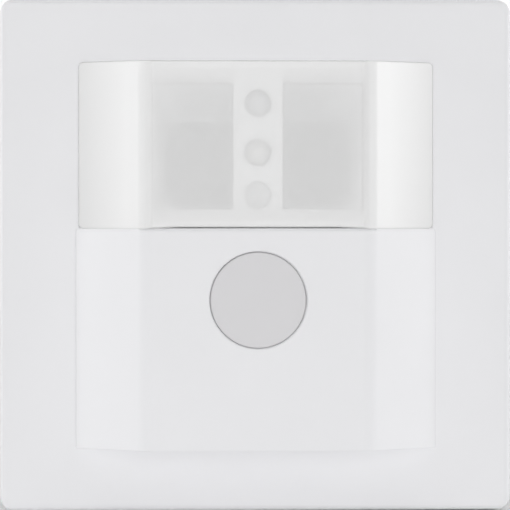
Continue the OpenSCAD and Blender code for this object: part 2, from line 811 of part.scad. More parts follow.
module board_screw(x, y) {
    rod(x, y, board_back - screw_head_h, board_back, screw_head_d);
    rod(x, y, board_back - slip, board_front + screw_bite, board_screw_d);
}

module board_screws() color("silver") on_wall() both_sides() {
    board_screw(cover_screw_x, cover_screw_y);
    board_screw(ear_x, ear_y);
}

module latch_arm() {
    left = latch_offset - latch_w / 2;
    right = latch_offset + latch_w / 2;
    top = latch_y + latch_t / 2;
    block([left, latch_y - latch_t / 2, -latch_reach], [right, top, rear_floor]);
    block([left, latch_y, -latch_reach], [right, top + latch_bump, -slip]);
}

module rear_cover() color("gainsboro") on_wall() difference() {
    union() {
        difference() {
            slab(rear_w, rear_h, module_back, lap_z);
            slab(rear_w - 2 * rear_side, rear_h - 2 * rear_side, rear_floor, lap_z + over);
        }
        four_corners() {
            rod(post_x, post_y, module_back, board_back - slip, post_d);
            rear_snap(0);
            latch_arm();
        }
    }
    for (i = [-1 : 1]) translate([i * trimmer_pitch, trimmer_y, 0])
        slab(trimmer_w + 2 * fit, trimmer_w + 2 * fit, module_back - over, board_back);
    translate([0, plug_y, 0]) slab(plug_w + 2 * fit, plug_h + 2 * fit, module_back - over, board_back);
}

// Outline of the insert housing: a round box with four flats
module pot_outline(inset) intersection() {
    square(pot_size - 2 * inset, center = true);
    circle(d = pot_d - 2 * inset, $fn = 96);
}

module pot_slice(inset, z0, z1) translate([0, 0, z0]) linear_extrude(z1 - z0) pot_outline(inset);

// Room for a latch arm on its way through the housing's flange and the ring
module latch_window() {
    half = latch_w / 2 + latch_slot;
    block([latch_offset - half, latch_y - latch_t / 2 - latch_slot, -over],
        [latch_offset + half, latch_y + latch_t / 2 + 2 * latch_slot, insert_front + over]);
}

// A screw slot with round ends, pointing away from the middle
module fixing_slot() translate([fixing_pitch / 2, 0, -over]) linear_extrude(ring_t + 2 * over) {
    straight = fixing_slot_len - fixing_slot_w;
    square([straight, fixing_slot_w], center = true);
    for (s = [-1, 1]) translate([s * straight / 2, 0]) circle(d = fixing_slot_w);
}

module support_ring() color("silver") on_wall() difference() {
    rounded_slab(ring_size, ring_size, ring_corner_r, 0, ring_t);
    pot_slice(-fit, -over, ring_t + over);
    for (a = [0 : 90 : 270]) rotate([0, 0, a]) fixing_slot();
    four_corners() {
        rod(rivet_pitch / 2, rivet_pitch / 2, -over, ring_t + over, rivet_d + 2 * slip);
        latch_window();
    }
}

module ring_rivets() color("silver") on_wall() four_corners() {
    head = insert_front - slip / 2;
    rod(rivet_pitch / 2, rivet_pitch / 2, head - rivet_head_t, head, rivet_head_d);
    rod(rivet_pitch / 2, rivet_pitch / 2, slip / 2, head, rivet_d);
}

module insert_housing() color("gray") on_wall() difference() {
    union() {
        pot_slice(0, pot_back, insert_front);
        rounded_slab(flange_size, flange_size, flange_corner_r, ring_t, insert_front);
    }
    pot_slice(pot_wall, pot_back + pot_wall, insert_front + over);
    pot_slice(pot_wall - cover_step, cover_ledge, insert_front + over);
    block([-terminals * terminal_pitch / 2 - fit, terminal_low - slip, pot_back - over],
        [terminals * terminal_pitch / 2 + fit, terminal_high + fit, pot_back + pot_wall + over]);
    for (i = [1 : terminals])
        upright_rod(terminal_x(i), terminal_screw_z, -pot_size, cavity_low, terminal_head_d + 2 * fit);
    four_corners() {
        latch_window();
        rod(rivet_pitch / 2, rivet_pitch / 2, 0, insert_front + over, rivet_d + 2 * slip);
        rod(rivet_pitch / 2, rivet_pitch / 2, insert_front - slip / 2 - rivet_head_t, insert_front + over,
            rivet_head_d + 2 * slip);
    }
}

module insert_cover() color("dimgray") on_wall() difference() {
    union() {
        pot_slice(pot_wall - cover_step + slip, cover_ledge, insert_front);
        four_corners() rod(insert_post_x, insert_post_y, power_front, insert_front, insert_post_d);
    }
    translate([0, plug_y, 0])
        slab(plug_w + 2 * (socket_wall + fit), socket_h + 2 * fit, cover_ledge - over, insert_front + over);
    four_corners() rod(rivet_pitch / 2, rivet_pitch / 2, cover_ledge - over, insert_front + over,
        rivet_head_d + 2 * fit);
}

module power_board() color("darkgreen") on_wall() difference() {
    pot_slice(pot_wall + 2 * fit, power_back, power_front);
    for (i = [1 : terminals])
        block([terminal_x(i) - contact_w / 2 - fit, contact_low - fit, power_back - over],
            [terminal_x(i) + contact_w / 2 + fit, contact_high + fit, power_front + over]);
}

module socket_body() color("black") on_wall() difference() {
    translate([0, plug_y, 0]) slab(plug_w + 2 * socket_wall, socket_h, power_front, insert_front - slip);
    for (i = [0 : pin_count - 1]) plug_pin(i, fit);
}

// A power part that stands on the rear of the power board, drawn from the board backwards
module on_power_board(place) translate([place[0], place[1], power_back]) mirror([0, 0, 1]) children();

module relay() color("black") on_wall() on_power_board(relay_place)
    slab(relay_len, relay_w, 0, relay_h);

module film_capacitor() color("goldenrod") on_wall() on_power_board(film_place)
    slab(film_len, film_w, 0, film_h);

module storage_capacitor() color("midnightblue") on_wall() on_power_board(storage_place)
    rod(0, 0, 0, storage_h, storage_d);

module varistor() color("steelblue") on_wall() on_power_board(varistor_place)
    upright_rod(0, varistor_d / 2, -varistor_t / 2, varistor_t / 2, varistor_d);

module fuse() color("saddlebrown") on_wall() on_power_board(fuse_place)
    rod(0, 0, 0, fuse_h, fuse_d);

module choke() color("darkorange") on_wall() on_power_board(choke_place)
    rod(0, 0, 0, choke_h, choke_d);

module rectifier() color("black") on_wall() on_power_board(rectifier_place)
    slab(rectifier_w, rectifier_len, 0, rectifier_h);

module terminal_body(i) color("lightgray") on_wall() translate([terminal_x(i), 0, 0]) difference() {
    block([-terminal_w / 2, terminal_low, pot_back], [terminal_w / 2, terminal_high, terminal_front]);
    block([-cavity_w / 2, cavity_low, cavity_back], [cavity_w / 2, cavity_high, cavity_front]);
    rod(0, wire_y, pot_back - over, cavity_back + over, wire_d);
    translate([0, wire_y, pot_back - slip])
        cylinder(d1 = wire_d + 2 * (funnel_t + slip), d2 = wire_d, h = funnel_t + slip);
    upright_rod(0, terminal_screw_z, terminal_low - over, cavity_low + over, terminal_head_d + fit);
    block([-contact_w / 2 - slip, contact_low - slip, cavity_front - over],
        [contact_w / 2 + slip, contact_high + slip, terminal_front + over]);
}

module terminal_screw(i) color("silver") on_wall() translate([terminal_x(i), 0, 0]) difference() {
    head_low = terminal_low + slip / 2;
    head_high = cavity_low - slip / 2;
    union() {
        upright_rod(0, terminal_screw_z, head_low, contact_low - slip, terminal_screw_d);
        upright_rod(0, terminal_screw_z, head_low, head_high, terminal_head_d);
    }
    block([-head_slot_w / 2, head_low - over, terminal_screw_z - terminal_head_d],
        [head_slot_w / 2, head_low + head_slot_t, terminal_screw_z + terminal_head_d]);
}

module terminal_clamp(i) color("silver") on_wall() translate([terminal_x(i), 0, 0]) difference() {
    block([-clamp_w / 2, clamp_low, clamp_back], [clamp_w / 2, clamp_high, clamp_back + clamp_len]);
    block([-clamp_hole_w / 2, clamp_low + clamp_floor, clamp_back - over],
        [clamp_hole_w / 2, clamp_hole_high, clamp_back + clamp_len + over]);
    upright_rod(0, terminal_screw_z, clamp_low - over, clamp_high - clamp_wall, terminal_screw_d + fit);
}

module terminal_bars() color("gold") on_wall() for (i = [1 : terminals])
    block([terminal_x(i) - contact_w / 2, contact_low, clamp_back],
        [terminal_x(i) + contact_w / 2, contact_high, power_front - slip]);

cover_frame();
front_cover();
lens();
push_button();
sensor_carrier();
pir_baffle_left();
pir_baffle_right();
pir_sensor_left();
pir_sensor_right();
pir_window_left();
pir_window_right();
status_led();
light_sensor();
ir_receiver();
sensor_board();
controller_chip();
switch_body();
switch_plunger();
trimmer_bodies();
time_trimmer();
light_trimmer();
range_trimmer();
plug_body();
plug_pins();
board_screws();
rear_cover();
support_ring();
ring_rivets();
insert_housing();
insert_cover();
power_board();
relay();
film_capacitor();
storage_capacitor();
varistor();
fuse();
choke();
rectifier();
socket_body();
terminal_bars();
for (i = [1 : terminals]) {
    terminal_body(i);
    terminal_screw(i);
    terminal_clamp(i);
}
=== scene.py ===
# %% [markdown]
# # A motion sensor light switch, dressed for its picture
# The switch is flush mounted: a square white cover frame, in it a bulged front with a milky motion lens
# above a plate with one round push button, and behind the wall plane a relay insert with four screw
# terminals. Its solids arrive packed, at their real size and place. This lesson gives them moulded and
# pressed edges, makes what repeats with Geometry Nodes, and then makes the light and the camera.

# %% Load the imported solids
import json
import math

import bmesh
import bpy
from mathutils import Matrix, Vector


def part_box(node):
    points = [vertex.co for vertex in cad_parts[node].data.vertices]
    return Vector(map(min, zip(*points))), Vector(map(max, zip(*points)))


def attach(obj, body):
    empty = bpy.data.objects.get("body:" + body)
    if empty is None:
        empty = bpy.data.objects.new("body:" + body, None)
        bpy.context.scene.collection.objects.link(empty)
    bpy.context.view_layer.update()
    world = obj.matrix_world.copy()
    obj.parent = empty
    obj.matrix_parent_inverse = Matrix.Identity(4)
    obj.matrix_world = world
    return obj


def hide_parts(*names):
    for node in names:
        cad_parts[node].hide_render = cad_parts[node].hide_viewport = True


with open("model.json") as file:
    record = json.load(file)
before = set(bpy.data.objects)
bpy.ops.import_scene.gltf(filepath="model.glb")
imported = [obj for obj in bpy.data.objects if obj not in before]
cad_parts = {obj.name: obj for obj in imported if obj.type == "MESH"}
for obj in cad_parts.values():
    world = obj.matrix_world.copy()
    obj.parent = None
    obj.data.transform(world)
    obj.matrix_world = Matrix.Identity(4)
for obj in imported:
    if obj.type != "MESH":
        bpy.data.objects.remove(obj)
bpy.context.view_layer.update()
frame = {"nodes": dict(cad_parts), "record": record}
MM = 0.001
nodes = frame["nodes"]
members_of = frame["record"]["behaviour"]["bodies"]
body_of = {node: body for body, members in members_of.items() for node in members}

# %% [markdown]
# ## Small helpers
# A colour is written the way a picture program shows it, as an sRGB hex value, but shaders count light, so
# one function turns it to linear. Node trees are long to write by hand, so one more function adds a node,
# sets what it is given and links what is already a socket. The last two put an object into the scene, and
# take a plain mesh from what its modifiers show.

# %% Colours, nodes and objects
def linear(code):
    """An sRGB hex colour as the linear RGBA that shaders take."""
    shares = [int(code[i:i + 2], 16) / 255 for i in (1, 3, 5)]
    return (*[s / 12.92 if s <= 0.04045 else ((s + 0.055) / 1.055) ** 2.4 for s in shares], 1.0)


def add_node(tree, kind, inputs=None, **settings):
    """Adds a node, sets its properties, and fills its inputs with values, a link or a list of links."""
    node = tree.nodes.new(kind)
    for name, value in settings.items():
        setattr(node, name, value)
    for socket, value in (inputs or {}).items():
        for source in value if isinstance(value, list) else [value]:
            if isinstance(source, bpy.types.NodeSocket):
                tree.links.new(source, node.inputs[socket])
            else:
                node.inputs[socket].default_value = source
    return node


def in_scene(name, data):
    """A new object, linked into the scene."""
    thing = bpy.data.objects.new(name, data)
    bpy.context.scene.collection.objects.link(thing)
    return thing


def plain_mesh(thing):
    """What an object shows with its modifiers, as a plain mesh."""
    return bpy.data.meshes.new_from_object(thing.evaluated_get(bpy.context.evaluated_depsgraph_get()))


FRAME_WHITE = "#e7e7e9"
print("white of the frame, linear:", [round(c, 3) for c in linear(FRAME_WHITE)[:3]])

# %% [markdown]
# ## What every finish shares
# Each finish has one Principled shader. Values that don't vary sit on the shader's own sockets, where anyone
# who opens the file finds them, and only what varies gets nodes. Where one tone lies softly over another,
# as under the milky lens, a row of mixes lays them in order.

# %% Functions for finishes
def new_finish(name, **constants):
    """A material with one Principled shader, whose unvarying values sit on the shader's own sockets."""
    material = bpy.data.materials.new(name)
    material.use_nodes = True
    tree = material.node_tree
    tree.nodes.clear()
    shader = add_node(tree, "ShaderNodeBsdfPrincipled")
    for socket, value in constants.items():
        shader.inputs[socket.replace("_", " ").title().replace("Ior", "IOR")].default_value = value
    add_node(tree, "ShaderNodeOutputMaterial", {"Surface": shader.outputs["BSDF"]})
    return material, tree, shader


def own_colour(material):
    """The socket that brings a finish its own colour."""
    return material.node_tree.nodes["Principled BSDF"].inputs["Base Color"].links[0].from_socket


def shaded(material, tone, layers):
    """Lays tones over each other in a finish: each layer is its share, from 0 to 1, and its tone."""
    tree = material.node_tree
    for share, over in layers:
        mix = add_node(tree, "ShaderNodeMix", {"Factor": share, "A": tone, "B": over}, data_type="RGBA")
        tone = mix.outputs["Result"]
    tree.links.new(tone, tree.nodes["Principled BSDF"].inputs["Base Color"])


packed_finishes = len(bpy.data.materials)
print("finishes that came with the solids:", packed_finishes)

# %% [markdown]
# ## Moulded plastic
# Most of the switch is injection moulded. The colour goes right through, so it hardly varies: a slight cloud
# from the flow of the melt, and the fine grain that spark erosion leaves in the mould. The grain could be a
# picture, but a noise in Object coordinates needs no unwrapping and keeps its size on every piece. Real
# grain is a few hundredths of a millimetre wide. That is too fine to show, so it is drawn coarser.

# %% A function for moulded plastics
GRAIN_GLOSS = 0.04
GRAIN_BUMP = 0.3


def moulded(name, colour, roughness, grain_mm=0.4, grain_depth_mm=0.004, cloud_mm=14, cloud=0.03,
            **constants):
    """Injection-moulded plastic: an even colour, a faint cloud and the mould's grain."""
    material, tree, shader = new_finish(name, **constants)
    place = add_node(tree, "ShaderNodeTexCoord").outputs["Object"]
    clouds = add_node(tree, "ShaderNodeTexNoise", {
        "Vector": place, "Scale": 1 / (cloud_mm * MM), "Detail": 2.0})
    dark = (*[c * (1 - cloud) for c in linear(colour)[:3]], 1.0)
    tint = add_node(tree, "ShaderNodeMix", {
        "Factor": clouds.outputs["Fac"], "A": dark, "B": linear(colour)}, data_type="RGBA")
    tree.links.new(tint.outputs["Result"], shader.inputs["Base Color"])
    grain = add_node(tree, "ShaderNodeTexNoise", {
        "Vector": place, "Scale": 1 / (grain_mm * MM), "Detail": 3.0})
    gloss = add_node(tree, "ShaderNodeMapRange", {
        "Value": grain.outputs["Fac"], "To Min": roughness - GRAIN_GLOSS, "To Max": roughness + GRAIN_GLOSS})
    tree.links.new(gloss.outputs["Result"], shader.inputs["Roughness"])
    bump = add_node(tree, "ShaderNodeBump", {
        "Height": grain.outputs["Fac"], "Strength": GRAIN_BUMP, "Distance": grain_depth_mm * MM})
    tree.links.new(bump.outputs["Normal"], shader.inputs["Normal"])
    return material


print("grain moves the gloss by", GRAIN_GLOSS, "either way")

# %% [markdown]
# ## The plastics of the switch
# Each plastic is picked for its work: styrenes where the room sees it, polyamide and polyester where it has
# to stand heat, acetal where something slides or turns. They differ in tone and shine, and little else.

# %% Plastics
# Frame and plate: a clean, slightly cool white with a broad soft shine.
asa_white = moulded("asa_white_moulded", FRAME_WHITE, 0.5)
# Button: light grey, a little glossier than the plate round it, so that it reads as a piece of its own.
abs_grey = moulded("abs_light_grey_moulded", "#cdccce", 0.42)
# Carrier behind the lens: white without a highlight, so that only its shape shows; painted shade is laid over
# it further on.
abs_matt = moulded("abs_white_matt_moulded", "#e6e6e7", 0.6)
# Rear cover of the module: an even, cool grey.
pc_grey = moulded("polycarbonate_grey_moulded", "#c9cacc", 0.5)
# Pot and lid of the insert: two dark greys with a dull shine, so that their parting line shows.
pa_dark = moulded("polyamide_dark_grey_moulded", "#4a4c4f", 0.52)
pa_lid = moulded("polyamide_lid_grey_moulded", "#3c3e41", 0.5)
# Terminal blocks: pale grey, which sets them off from the dark pot.
pbt_light = moulded("polyester_light_grey_moulded", "#b4b6b8", 0.5)
# Key plunger and trimmer dials: waxy whites, the plunger's a little yellow.
pom_ivory = moulded("acetal_ivory_moulded", "#dcd6c2", 0.4)
pom_white = moulded("acetal_white_moulded", "#e3e3df", 0.42)
# Trimmer cases: a strong blue with a clear shine.
pbt_blue = moulded("polyester_blue_moulded", "#2a55a8", 0.35)
# Chip, key switch, plug, socket, relay and rectifier: near black and dull.
epoxy_black = moulded("epoxy_black_moulded", "#232426", 0.55)
# Box of the film capacitor: warm yellow with a soft shine.
box_yellow = moulded("polyester_yellow_box_moulded", "#d8a72c", 0.4)
# Case of the fuse: dull brown.
fuse_brown = moulded("polyamide_brown_moulded", "#5b3b24", 0.5)
# Drum of the choke: pressed and fired powder, a stony dark grey with hardly any shine.
ferrite = moulded("ferrite_grey_sintered", "#3a3a3c", 0.7, grain_mm=0.25, grain_depth_mm=0.01)
print("plastics and ferrite:", len(bpy.data.materials) - packed_finishes)

# %% [markdown]
# ## The milky lens
# A motion lens is thin milky polyethylene. It lets heat through, and throws about half of the light back, so
# the pieces behind it show as pale grey shapes. Rough transmission would blur them, but it loses light at
# both faces of the sheet and the lens turns dull. A white veil, set as alpha, keeps the light that the real
# one keeps. The sheet is thinnest in its flat middle, where the sensors look out, and denser on the flanks.
# Towards its side edges, where they sink into the frame, painted shade turns it a little greyer.

# %% Frosted polyethylene
THIN_VEIL = 0.44
DENSE_VEIL = 0.74
DENSE_FROM = 16.0 * MM
DENSE_TO = 17.7 * MM
EDGE_FROM = 20.5 * MM
EDGE_TO = 28.5 * MM
EDGE_PAINTED_SHADE = "#e4e4e4"
hdpe = moulded("polyethylene_milky_moulded", "#fafafa", 0.33, grain_mm=0.5, grain_depth_mm=0.003,
               cloud=0.01, ior=1.52)
lens_tree = hdpe.node_tree
lens_place = add_node(lens_tree, "ShaderNodeTexCoord").outputs["Object"]
lens_axes = add_node(lens_tree, "ShaderNodeSeparateXYZ", {"Vector": lens_place})
sideways = add_node(lens_tree, "ShaderNodeMath", {0: lens_axes.outputs["X"]}, operation="ABSOLUTE")
veil = add_node(lens_tree, "ShaderNodeMapRange", {
    "Value": sideways.outputs[0], "From Min": DENSE_FROM, "From Max": DENSE_TO,
    "To Min": THIN_VEIL, "To Max": DENSE_VEIL}, interpolation_type="SMOOTHSTEP")
lens_tree.links.new(veil.outputs["Result"], lens_tree.nodes["Principled BSDF"].inputs["Alpha"])
# Painted shade: the flanks turn greyer towards the side edges, where the frame shades them.
edge_shade_share = add_node(lens_tree, "ShaderNodeMapRange", {
    "Value": sideways.outputs[0], "From Min": EDGE_FROM, "From Max": EDGE_TO})
shaded(hdpe, own_colour(hdpe), [(edge_shade_share.outputs["Result"], linear(EDGE_PAINTED_SHADE))])
print("lens veil", THIN_VEIL, "to", DENSE_VEIL)

# %% [markdown]
# ## Metals
# The support ring is zinc-plated sheet, rolled in one direction, the screws and rivets are plated after they
# are formed, and the contacts are brass. A metal's colour is in its reflection, so metallic is 1 and the
# life is in the roughness: a noise, drawn long along the rolling direction on the ring. Its real grain would
# be too fine to show, so it is drawn about half a millimetre wide.

# %% A function for metals
PLATED_BUMP = 0.25
PLATED_DEPTH = 0.004 * MM


def plated(name, colour, roughness, grain_mm, stretch=1.0, spread=0.12):
    """Plated or drawn metal: full metallic, with a grain in its gloss that may run along X."""
    material, tree, shader = new_finish(name, base_color=linear(colour), metallic=1.0)
    place = add_node(tree, "ShaderNodeTexCoord").outputs["Object"]
    drawn = add_node(tree, "ShaderNodeMapping", {"Vector": place, "Scale": (1 / stretch, 1.0, 1.0)})
    grain = add_node(tree, "ShaderNodeTexNoise", {
        "Vector": drawn.outputs["Vector"], "Scale": 1 / (grain_mm * MM), "Detail": 4.0})
    gloss = add_node(tree, "ShaderNodeMapRange", {
        "Value": grain.outputs["Fac"], "To Min": roughness - spread, "To Max": roughness + spread})
    tree.links.new(gloss.outputs["Result"], shader.inputs["Roughness"])
    bump = add_node(tree, "ShaderNodeBump", {
        "Height": grain.outputs["Fac"], "Strength": PLATED_BUMP, "Distance": PLATED_DEPTH})
    tree.links.new(bump.outputs["Normal"], shader.inputs["Normal"])
    return material


# Support ring: cool silver with streaks from the rolls.
ring_zinc = plated("steel_sheet_zinc_plated", "#c3c6ca", 0.32, 0.6, stretch=12)
# Screws, rivets and wire clamps: brighter than the ring, with a mottled shine.
screw_zinc = plated("steel_screws_zinc_plated", "#c8cacc", 0.28, 0.5)
# Cans of the motion sensors: dark and dull, so that they don't glare behind the lens.
can_black = plated("steel_can_blackened", "#48494b", 0.5, 0.5)
# Plug pins and contact bars: pale yellow metal with a sharp shine.
brass = plated("brass_contacts_tinned", "#d9b876", 0.3, 0.5)
# Winding of the choke: reddish under its clear enamel.
copper = plated("copper_wire_enamelled", "#b5642f", 0.35, 0.4)
# Top of the storage capacitor: bright, even silver.
aluminium = plated("aluminium_can_drawn", "#cfd1d3", 0.35, 0.5)
print("finishes so far:", len(bpy.data.materials) - packed_finishes)

# %% [markdown]
# ## Resins, filters and boards
# The lamp, the brightness sensor and the receiver are cast in epoxy, clear, diffused or smoked. The motion
# sensors look out through a polished silicon filter, nearly black. The boards are glass epoxy under a white
# or a green solder mask, glossy like paint. All are smooth, so they are mouldings with less grain.

# %% Cast, polished and coated finishes
def glossy(name, colour, roughness, cloud_mm=5):
    """A smooth cast or coated surface with a slow change of tone."""
    return moulded(name, colour, roughness, grain_mm=1.2, grain_depth_mm=0.002, cloud_mm=cloud_mm,
                   cloud=0.08)


# Lamp, brightness sensor and receiver: three pale greys, which is how cast resin looks through the lens.
led_resin = glossy("epoxy_diffused_cast", "#dcdad7", 0.3)
clear_resin = glossy("epoxy_clear_cast", "#b4b6b6", 0.35)
smoked_resin = glossy("epoxy_smoked_cast", "#c4c4c8", 0.3)
# Filters of the motion sensors: a dark mirror.
silicon = glossy("silicon_filter_polished", "#2b2c33", 0.1)
# Boards: white behind the lens, where a green one would show through, and green in the insert.
board_white = glossy("glass_epoxy_white_mask", "#dcdfdc", 0.35, cloud_mm=3)
board_green = glossy("glass_epoxy_green_mask", "#1f5c3a", 0.3, cloud_mm=3)
# Sleeve of the storage capacitor and coat of the varistor: two blues with a wet shine.
sleeve_blue = glossy("vinyl_sleeve_shrunk", "#23305c", 0.3)
varistor_blue = glossy("epoxy_blue_dipped", "#3569a8", 0.35)
print("finishes so far:", len(bpy.data.materials) - packed_finishes)

# %% [markdown]
# ## Edges as a mould or a press leaves them
# No moulded edge is sharp, and the thin bright line along a rounded edge is what makes plastic look real.
# Each solid is copied, its loose triangles are joined into whole faces again, and its outward edges are
# rounded. Normals weighted by face area then keep the flat faces flat.

# %% Functions that soften and finish a solid
JOIN = 1e-7
FLAT = math.radians(0.4)
SHARP = math.radians(32)


def softened(node, edge_mm, steps=2):
    """A copy of a solid's mesh with its sharp outward edges rounded by edge_mm."""
    work = bmesh.new()
    work.from_mesh(nodes[node].data)
    bmesh.ops.remove_doubles(work, verts=work.verts, dist=JOIN)
    bmesh.ops.dissolve_limit(work, angle_limit=FLAT, verts=work.verts, edges=work.edges)
    outward = [e for e in work.edges if e.is_manifold and e.is_convex and e.calc_face_angle() > SHARP]
    bmesh.ops.bevel(work, geom=outward, offset=edge_mm * MM, offset_type="OFFSET", segments=steps,
                    profile=0.5, affect="EDGES", clamp_overlap=True)
    for face in work.faces:
        face.smooth = True
    for edge in work.edges:
        edge.smooth = not edge.is_manifold or edge.calc_face_angle() < SHARP
    mesh = bpy.data.meshes.new(node + "_softened")
    work.to_mesh(mesh)
    work.free()
    return mesh


def finished(name, mesh, node, material):
    """Stands a finished mesh in for its solid: same body, its own finish."""
    piece = in_scene(name, mesh)
    weigh = piece.modifiers.new("flat_faces", "WEIGHTED_NORMAL")
    weigh.keep_sharp = True
    plain = plain_mesh(piece)
    piece.modifiers.clear()
    piece.data = plain
    piece.data.materials.clear()
    piece.data.materials.append(material)
    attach(piece, body_of[node])
    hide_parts(node)
    print(name, len(plain.polygons), "faces")


def dress(pieces, steps=2):
    """Softens and finishes the solids of a table: each one's new name, edge in millimetres and finish."""
    for node, (name, edge_mm, material) in pieces.items():
        finished(name, softened(node, edge_mm, steps), node, material)


print("edges sharper than", round(math.degrees(SHARP)), "degrees are rounded")

# %% [markdown]
# ## Places on the wall
# Some pieces aren't softened solids but are drawn afresh, or have some of their points moved. That is done
# in millimetres and as one sees the switch on the wall: x to the right, up, and out towards the room.

# %% Functions for places
def at(x, up, out):
    """A place on the wall in millimetres, as a point of the scene."""
    return Vector((x, -out, up)) * MM


def on_wall(node):
    """A solid's low and high corners in millimetres, as x, up and out."""
    low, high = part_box(node)
    return Vector((low.x, low.z, -high.y)) / MM, Vector((high.x, high.z, -low.y)) / MM


def middle_of(node):
    """The middle of a solid's box in millimetres, as x, up and out."""
    low, high = on_wall(node)
    return (low + high) / 2


def reach_of(vertex, axis_up):
    """A point's distance in millimetres from an axis that points into the room at that height."""
    return math.hypot(vertex.co.x / MM, vertex.co.z / MM - axis_up)


def move_out(vertex, axis_up, times):
    """Moves a point straight away from such an axis, to so many times its distance."""
    vertex.co.x *= times
    vertex.co.z = (axis_up + (vertex.co.z / MM - axis_up) * times) * MM


print("middle of the button in mm:", [round(v, 2) for v in middle_of("push_button")])

# %% [markdown]
# ## Turned and lofted shapes
# A turned shape spins a profile round an axis, as a lathe does. A loft is a skin over a row of rounded
# rectangles, which suits moulded boxes and funnels. Spin and Bridge could make both, but rings of points that
# are worked out keep their real sizes in the script.

# %% Functions for drawn shapes
def rounded_ring(x, up, out, half_x, half_up, corner, steps=7):
    """The points of a rounded rectangle that lies parallel to the wall."""
    ring = []
    for quarter, (sx, su) in enumerate(((1, 1), (-1, 1), (-1, -1), (1, -1))):
        for i in range(steps + 1):
            turn = math.radians(90) * (quarter + i / steps)
            ring.append(at(x + sx * (half_x - corner) + corner * math.cos(turn),
                           up + su * (half_up - corner) + corner * math.sin(turn), out))
    return ring


def edged(mesh):
    """Shades a mesh smooth, with its sharp edges kept."""
    mesh.shade_smooth()
    mesh.set_sharp_from_angle(angle=SHARP)
    return mesh


def skin(name, rings, joined=False):
    """A closed mesh over rings of equally many points: with flat ends, or joined into a loop."""
    work = bmesh.new()
    rows = [[work.verts.new(p) for p in ring] for ring in rings]
    count = len(rows[0])
    pairs = list(zip(rows, rows[1:])) + ([(rows[-1], rows[0])] if joined else [])
    for a, b in pairs:
        for i in range(count):
            work.faces.new((a[i], a[(i + 1) % count], b[(i + 1) % count], b[i]))
    if not joined:
        work.faces.new(rows[0])
        work.faces.new(rows[-1])
    bmesh.ops.recalc_face_normals(work, faces=work.faces)
    mesh = bpy.data.meshes.new(name)
    work.to_mesh(mesh)
    work.free()
    return edged(mesh)


def turned(name, centre, along, across, profile, steps=48):
    """A solid of revolution: profile lists the radius and the distance along the axis, in millimetres."""
    side = along.cross(across)
    turns = [2 * math.pi * i / steps for i in range(steps)]
    spokes = [across * math.cos(a) + side * math.sin(a) for a in turns]
    return skin(name, [[centre + (along * travel + spoke * radius) * MM for spoke in spokes]
                       for radius, travel in profile])


print("a rounded ring has", len(rounded_ring(0, 0, 0, 1, 1, 0.5)), "points")

# %% [markdown]
# ## Shapes that repeat
# Geometry Nodes make what comes in numbers: ribs, pins, screws and rivets, and the turns of a winding. Each
# tree has named inputs for its sizes. Its instances are made real and given their finish at the end, and the
# result is kept as a plain mesh.

# %% Functions for node trees
def size_tree(name, **sizes):
    """A Geometry Nodes tree with a named input for each size, and the sockets that bring them in."""
    tree = bpy.data.node_groups.new(name, "GeometryNodeTree")
    tree.interface.new_socket("Places", in_out="INPUT", socket_type="NodeSocketGeometry")
    for label, kind in sizes.items():
        tree.interface.new_socket(label, in_out="INPUT", socket_type="NodeSocket" + kind)
    tree.interface.new_socket("Geometry", in_out="OUTPUT", socket_type="NodeSocketGeometry")
    return tree, add_node(tree, "NodeGroupInput").outputs


def end_tree(tree, shape, material):
    """Ends a tree: instances become plain mesh and get their finish."""
    plain = add_node(tree, "GeometryNodeRealizeInstances", {"Geometry": shape})
    coated = add_node(tree, "GeometryNodeSetMaterial", {"Geometry": plain.outputs[0], "Material": material})
    add_node(tree, "NodeGroupOutput", {"Geometry": coated.outputs[0]})


def grown(name, tree, places, **sizes):
    """Runs a tree on a cloud of points and keeps the plain mesh."""
    cloud = bpy.data.meshes.new(name)
    cloud.from_pydata(places, [], [])
    holder = in_scene(name + "_holder", cloud)
    grow = holder.modifiers.new("grow", "NODES")
    grow.node_group = tree
    for item in tree.interface.items_tree:
        if item.in_out == "INPUT" and item.name in sizes:
            grow[item.identifier] = sizes[item.name]
    mesh = plain_mesh(holder)
    bpy.data.objects.remove(holder)
    return edged(mesh)


print("node trees so far:", len(bpy.data.node_groups))

# %% [markdown]
# ## The front that the room sees
# The frame, the bulged plate and the button are the face of the switch. Their edge radii are those of good
# mouldings, a quarter of a millimetre or so. They could be drawn anew, but the solids have their true shape
# already, so softening is enough.

# %% Frame, plate and button
dress({
    "cover_frame": ("frame_moulding", 0.25, asa_white),
    "front_cover": ("bulged_plate", 0.3, asa_white),
    "push_button": ("button_cap", 0.25, abs_grey),
}, steps=3)

# %% [markdown]
# ## The button's fit
# A good button fills its hole almost wholly, and only a thin grey ring shows: the groove round the cap. In
# the solid that groove is wider and shallower, so the wall of the cap is moved out a little, the wall of its
# hole with it, so that the cap still slides freely, and the floor of the groove is moved in.

# %% Closer cap
CAP_GROW = 0.15
CAP_RIM = 0.4
HOLE_GROW = 0.09
HOLE_RIM = 0.15
GROOVE_MORE = 0.2
GROOVE_W = 0.4
GROOVE_FLOOR = (0.3, 0.1)
HAIR = 0.01
cap_low, cap_high = on_wall("push_button")
CAP_R = (cap_high.y - cap_low.y) / 2
cap_up = middle_of("push_button").y
grown_points = 0
for vertex in bpy.data.objects["button_cap"].data.vertices:
    reach = reach_of(vertex, cap_up)
    if CAP_R - CAP_RIM < reach < CAP_R + HAIR:
        move_out(vertex, cap_up, 1 + CAP_GROW / reach)
        grown_points += 1
groove_points = 0
for vertex in bpy.data.objects["bulged_plate"].data.vertices:
    reach = reach_of(vertex, cap_up)
    below = cap_high.z + vertex.co.y / MM
    if CAP_R < reach < CAP_R + GROOVE_W and GROOVE_FLOOR[0] > below > GROOVE_FLOOR[1]:
        vertex.co.y += GROOVE_MORE * MM
        groove_points += 1
    if CAP_R < reach < CAP_R + HOLE_RIM:
        move_out(vertex, cap_up, 1 + HOLE_GROW / reach)
print(grown_points, "points of the cap moved out, and", groove_points, "of the groove moved in")

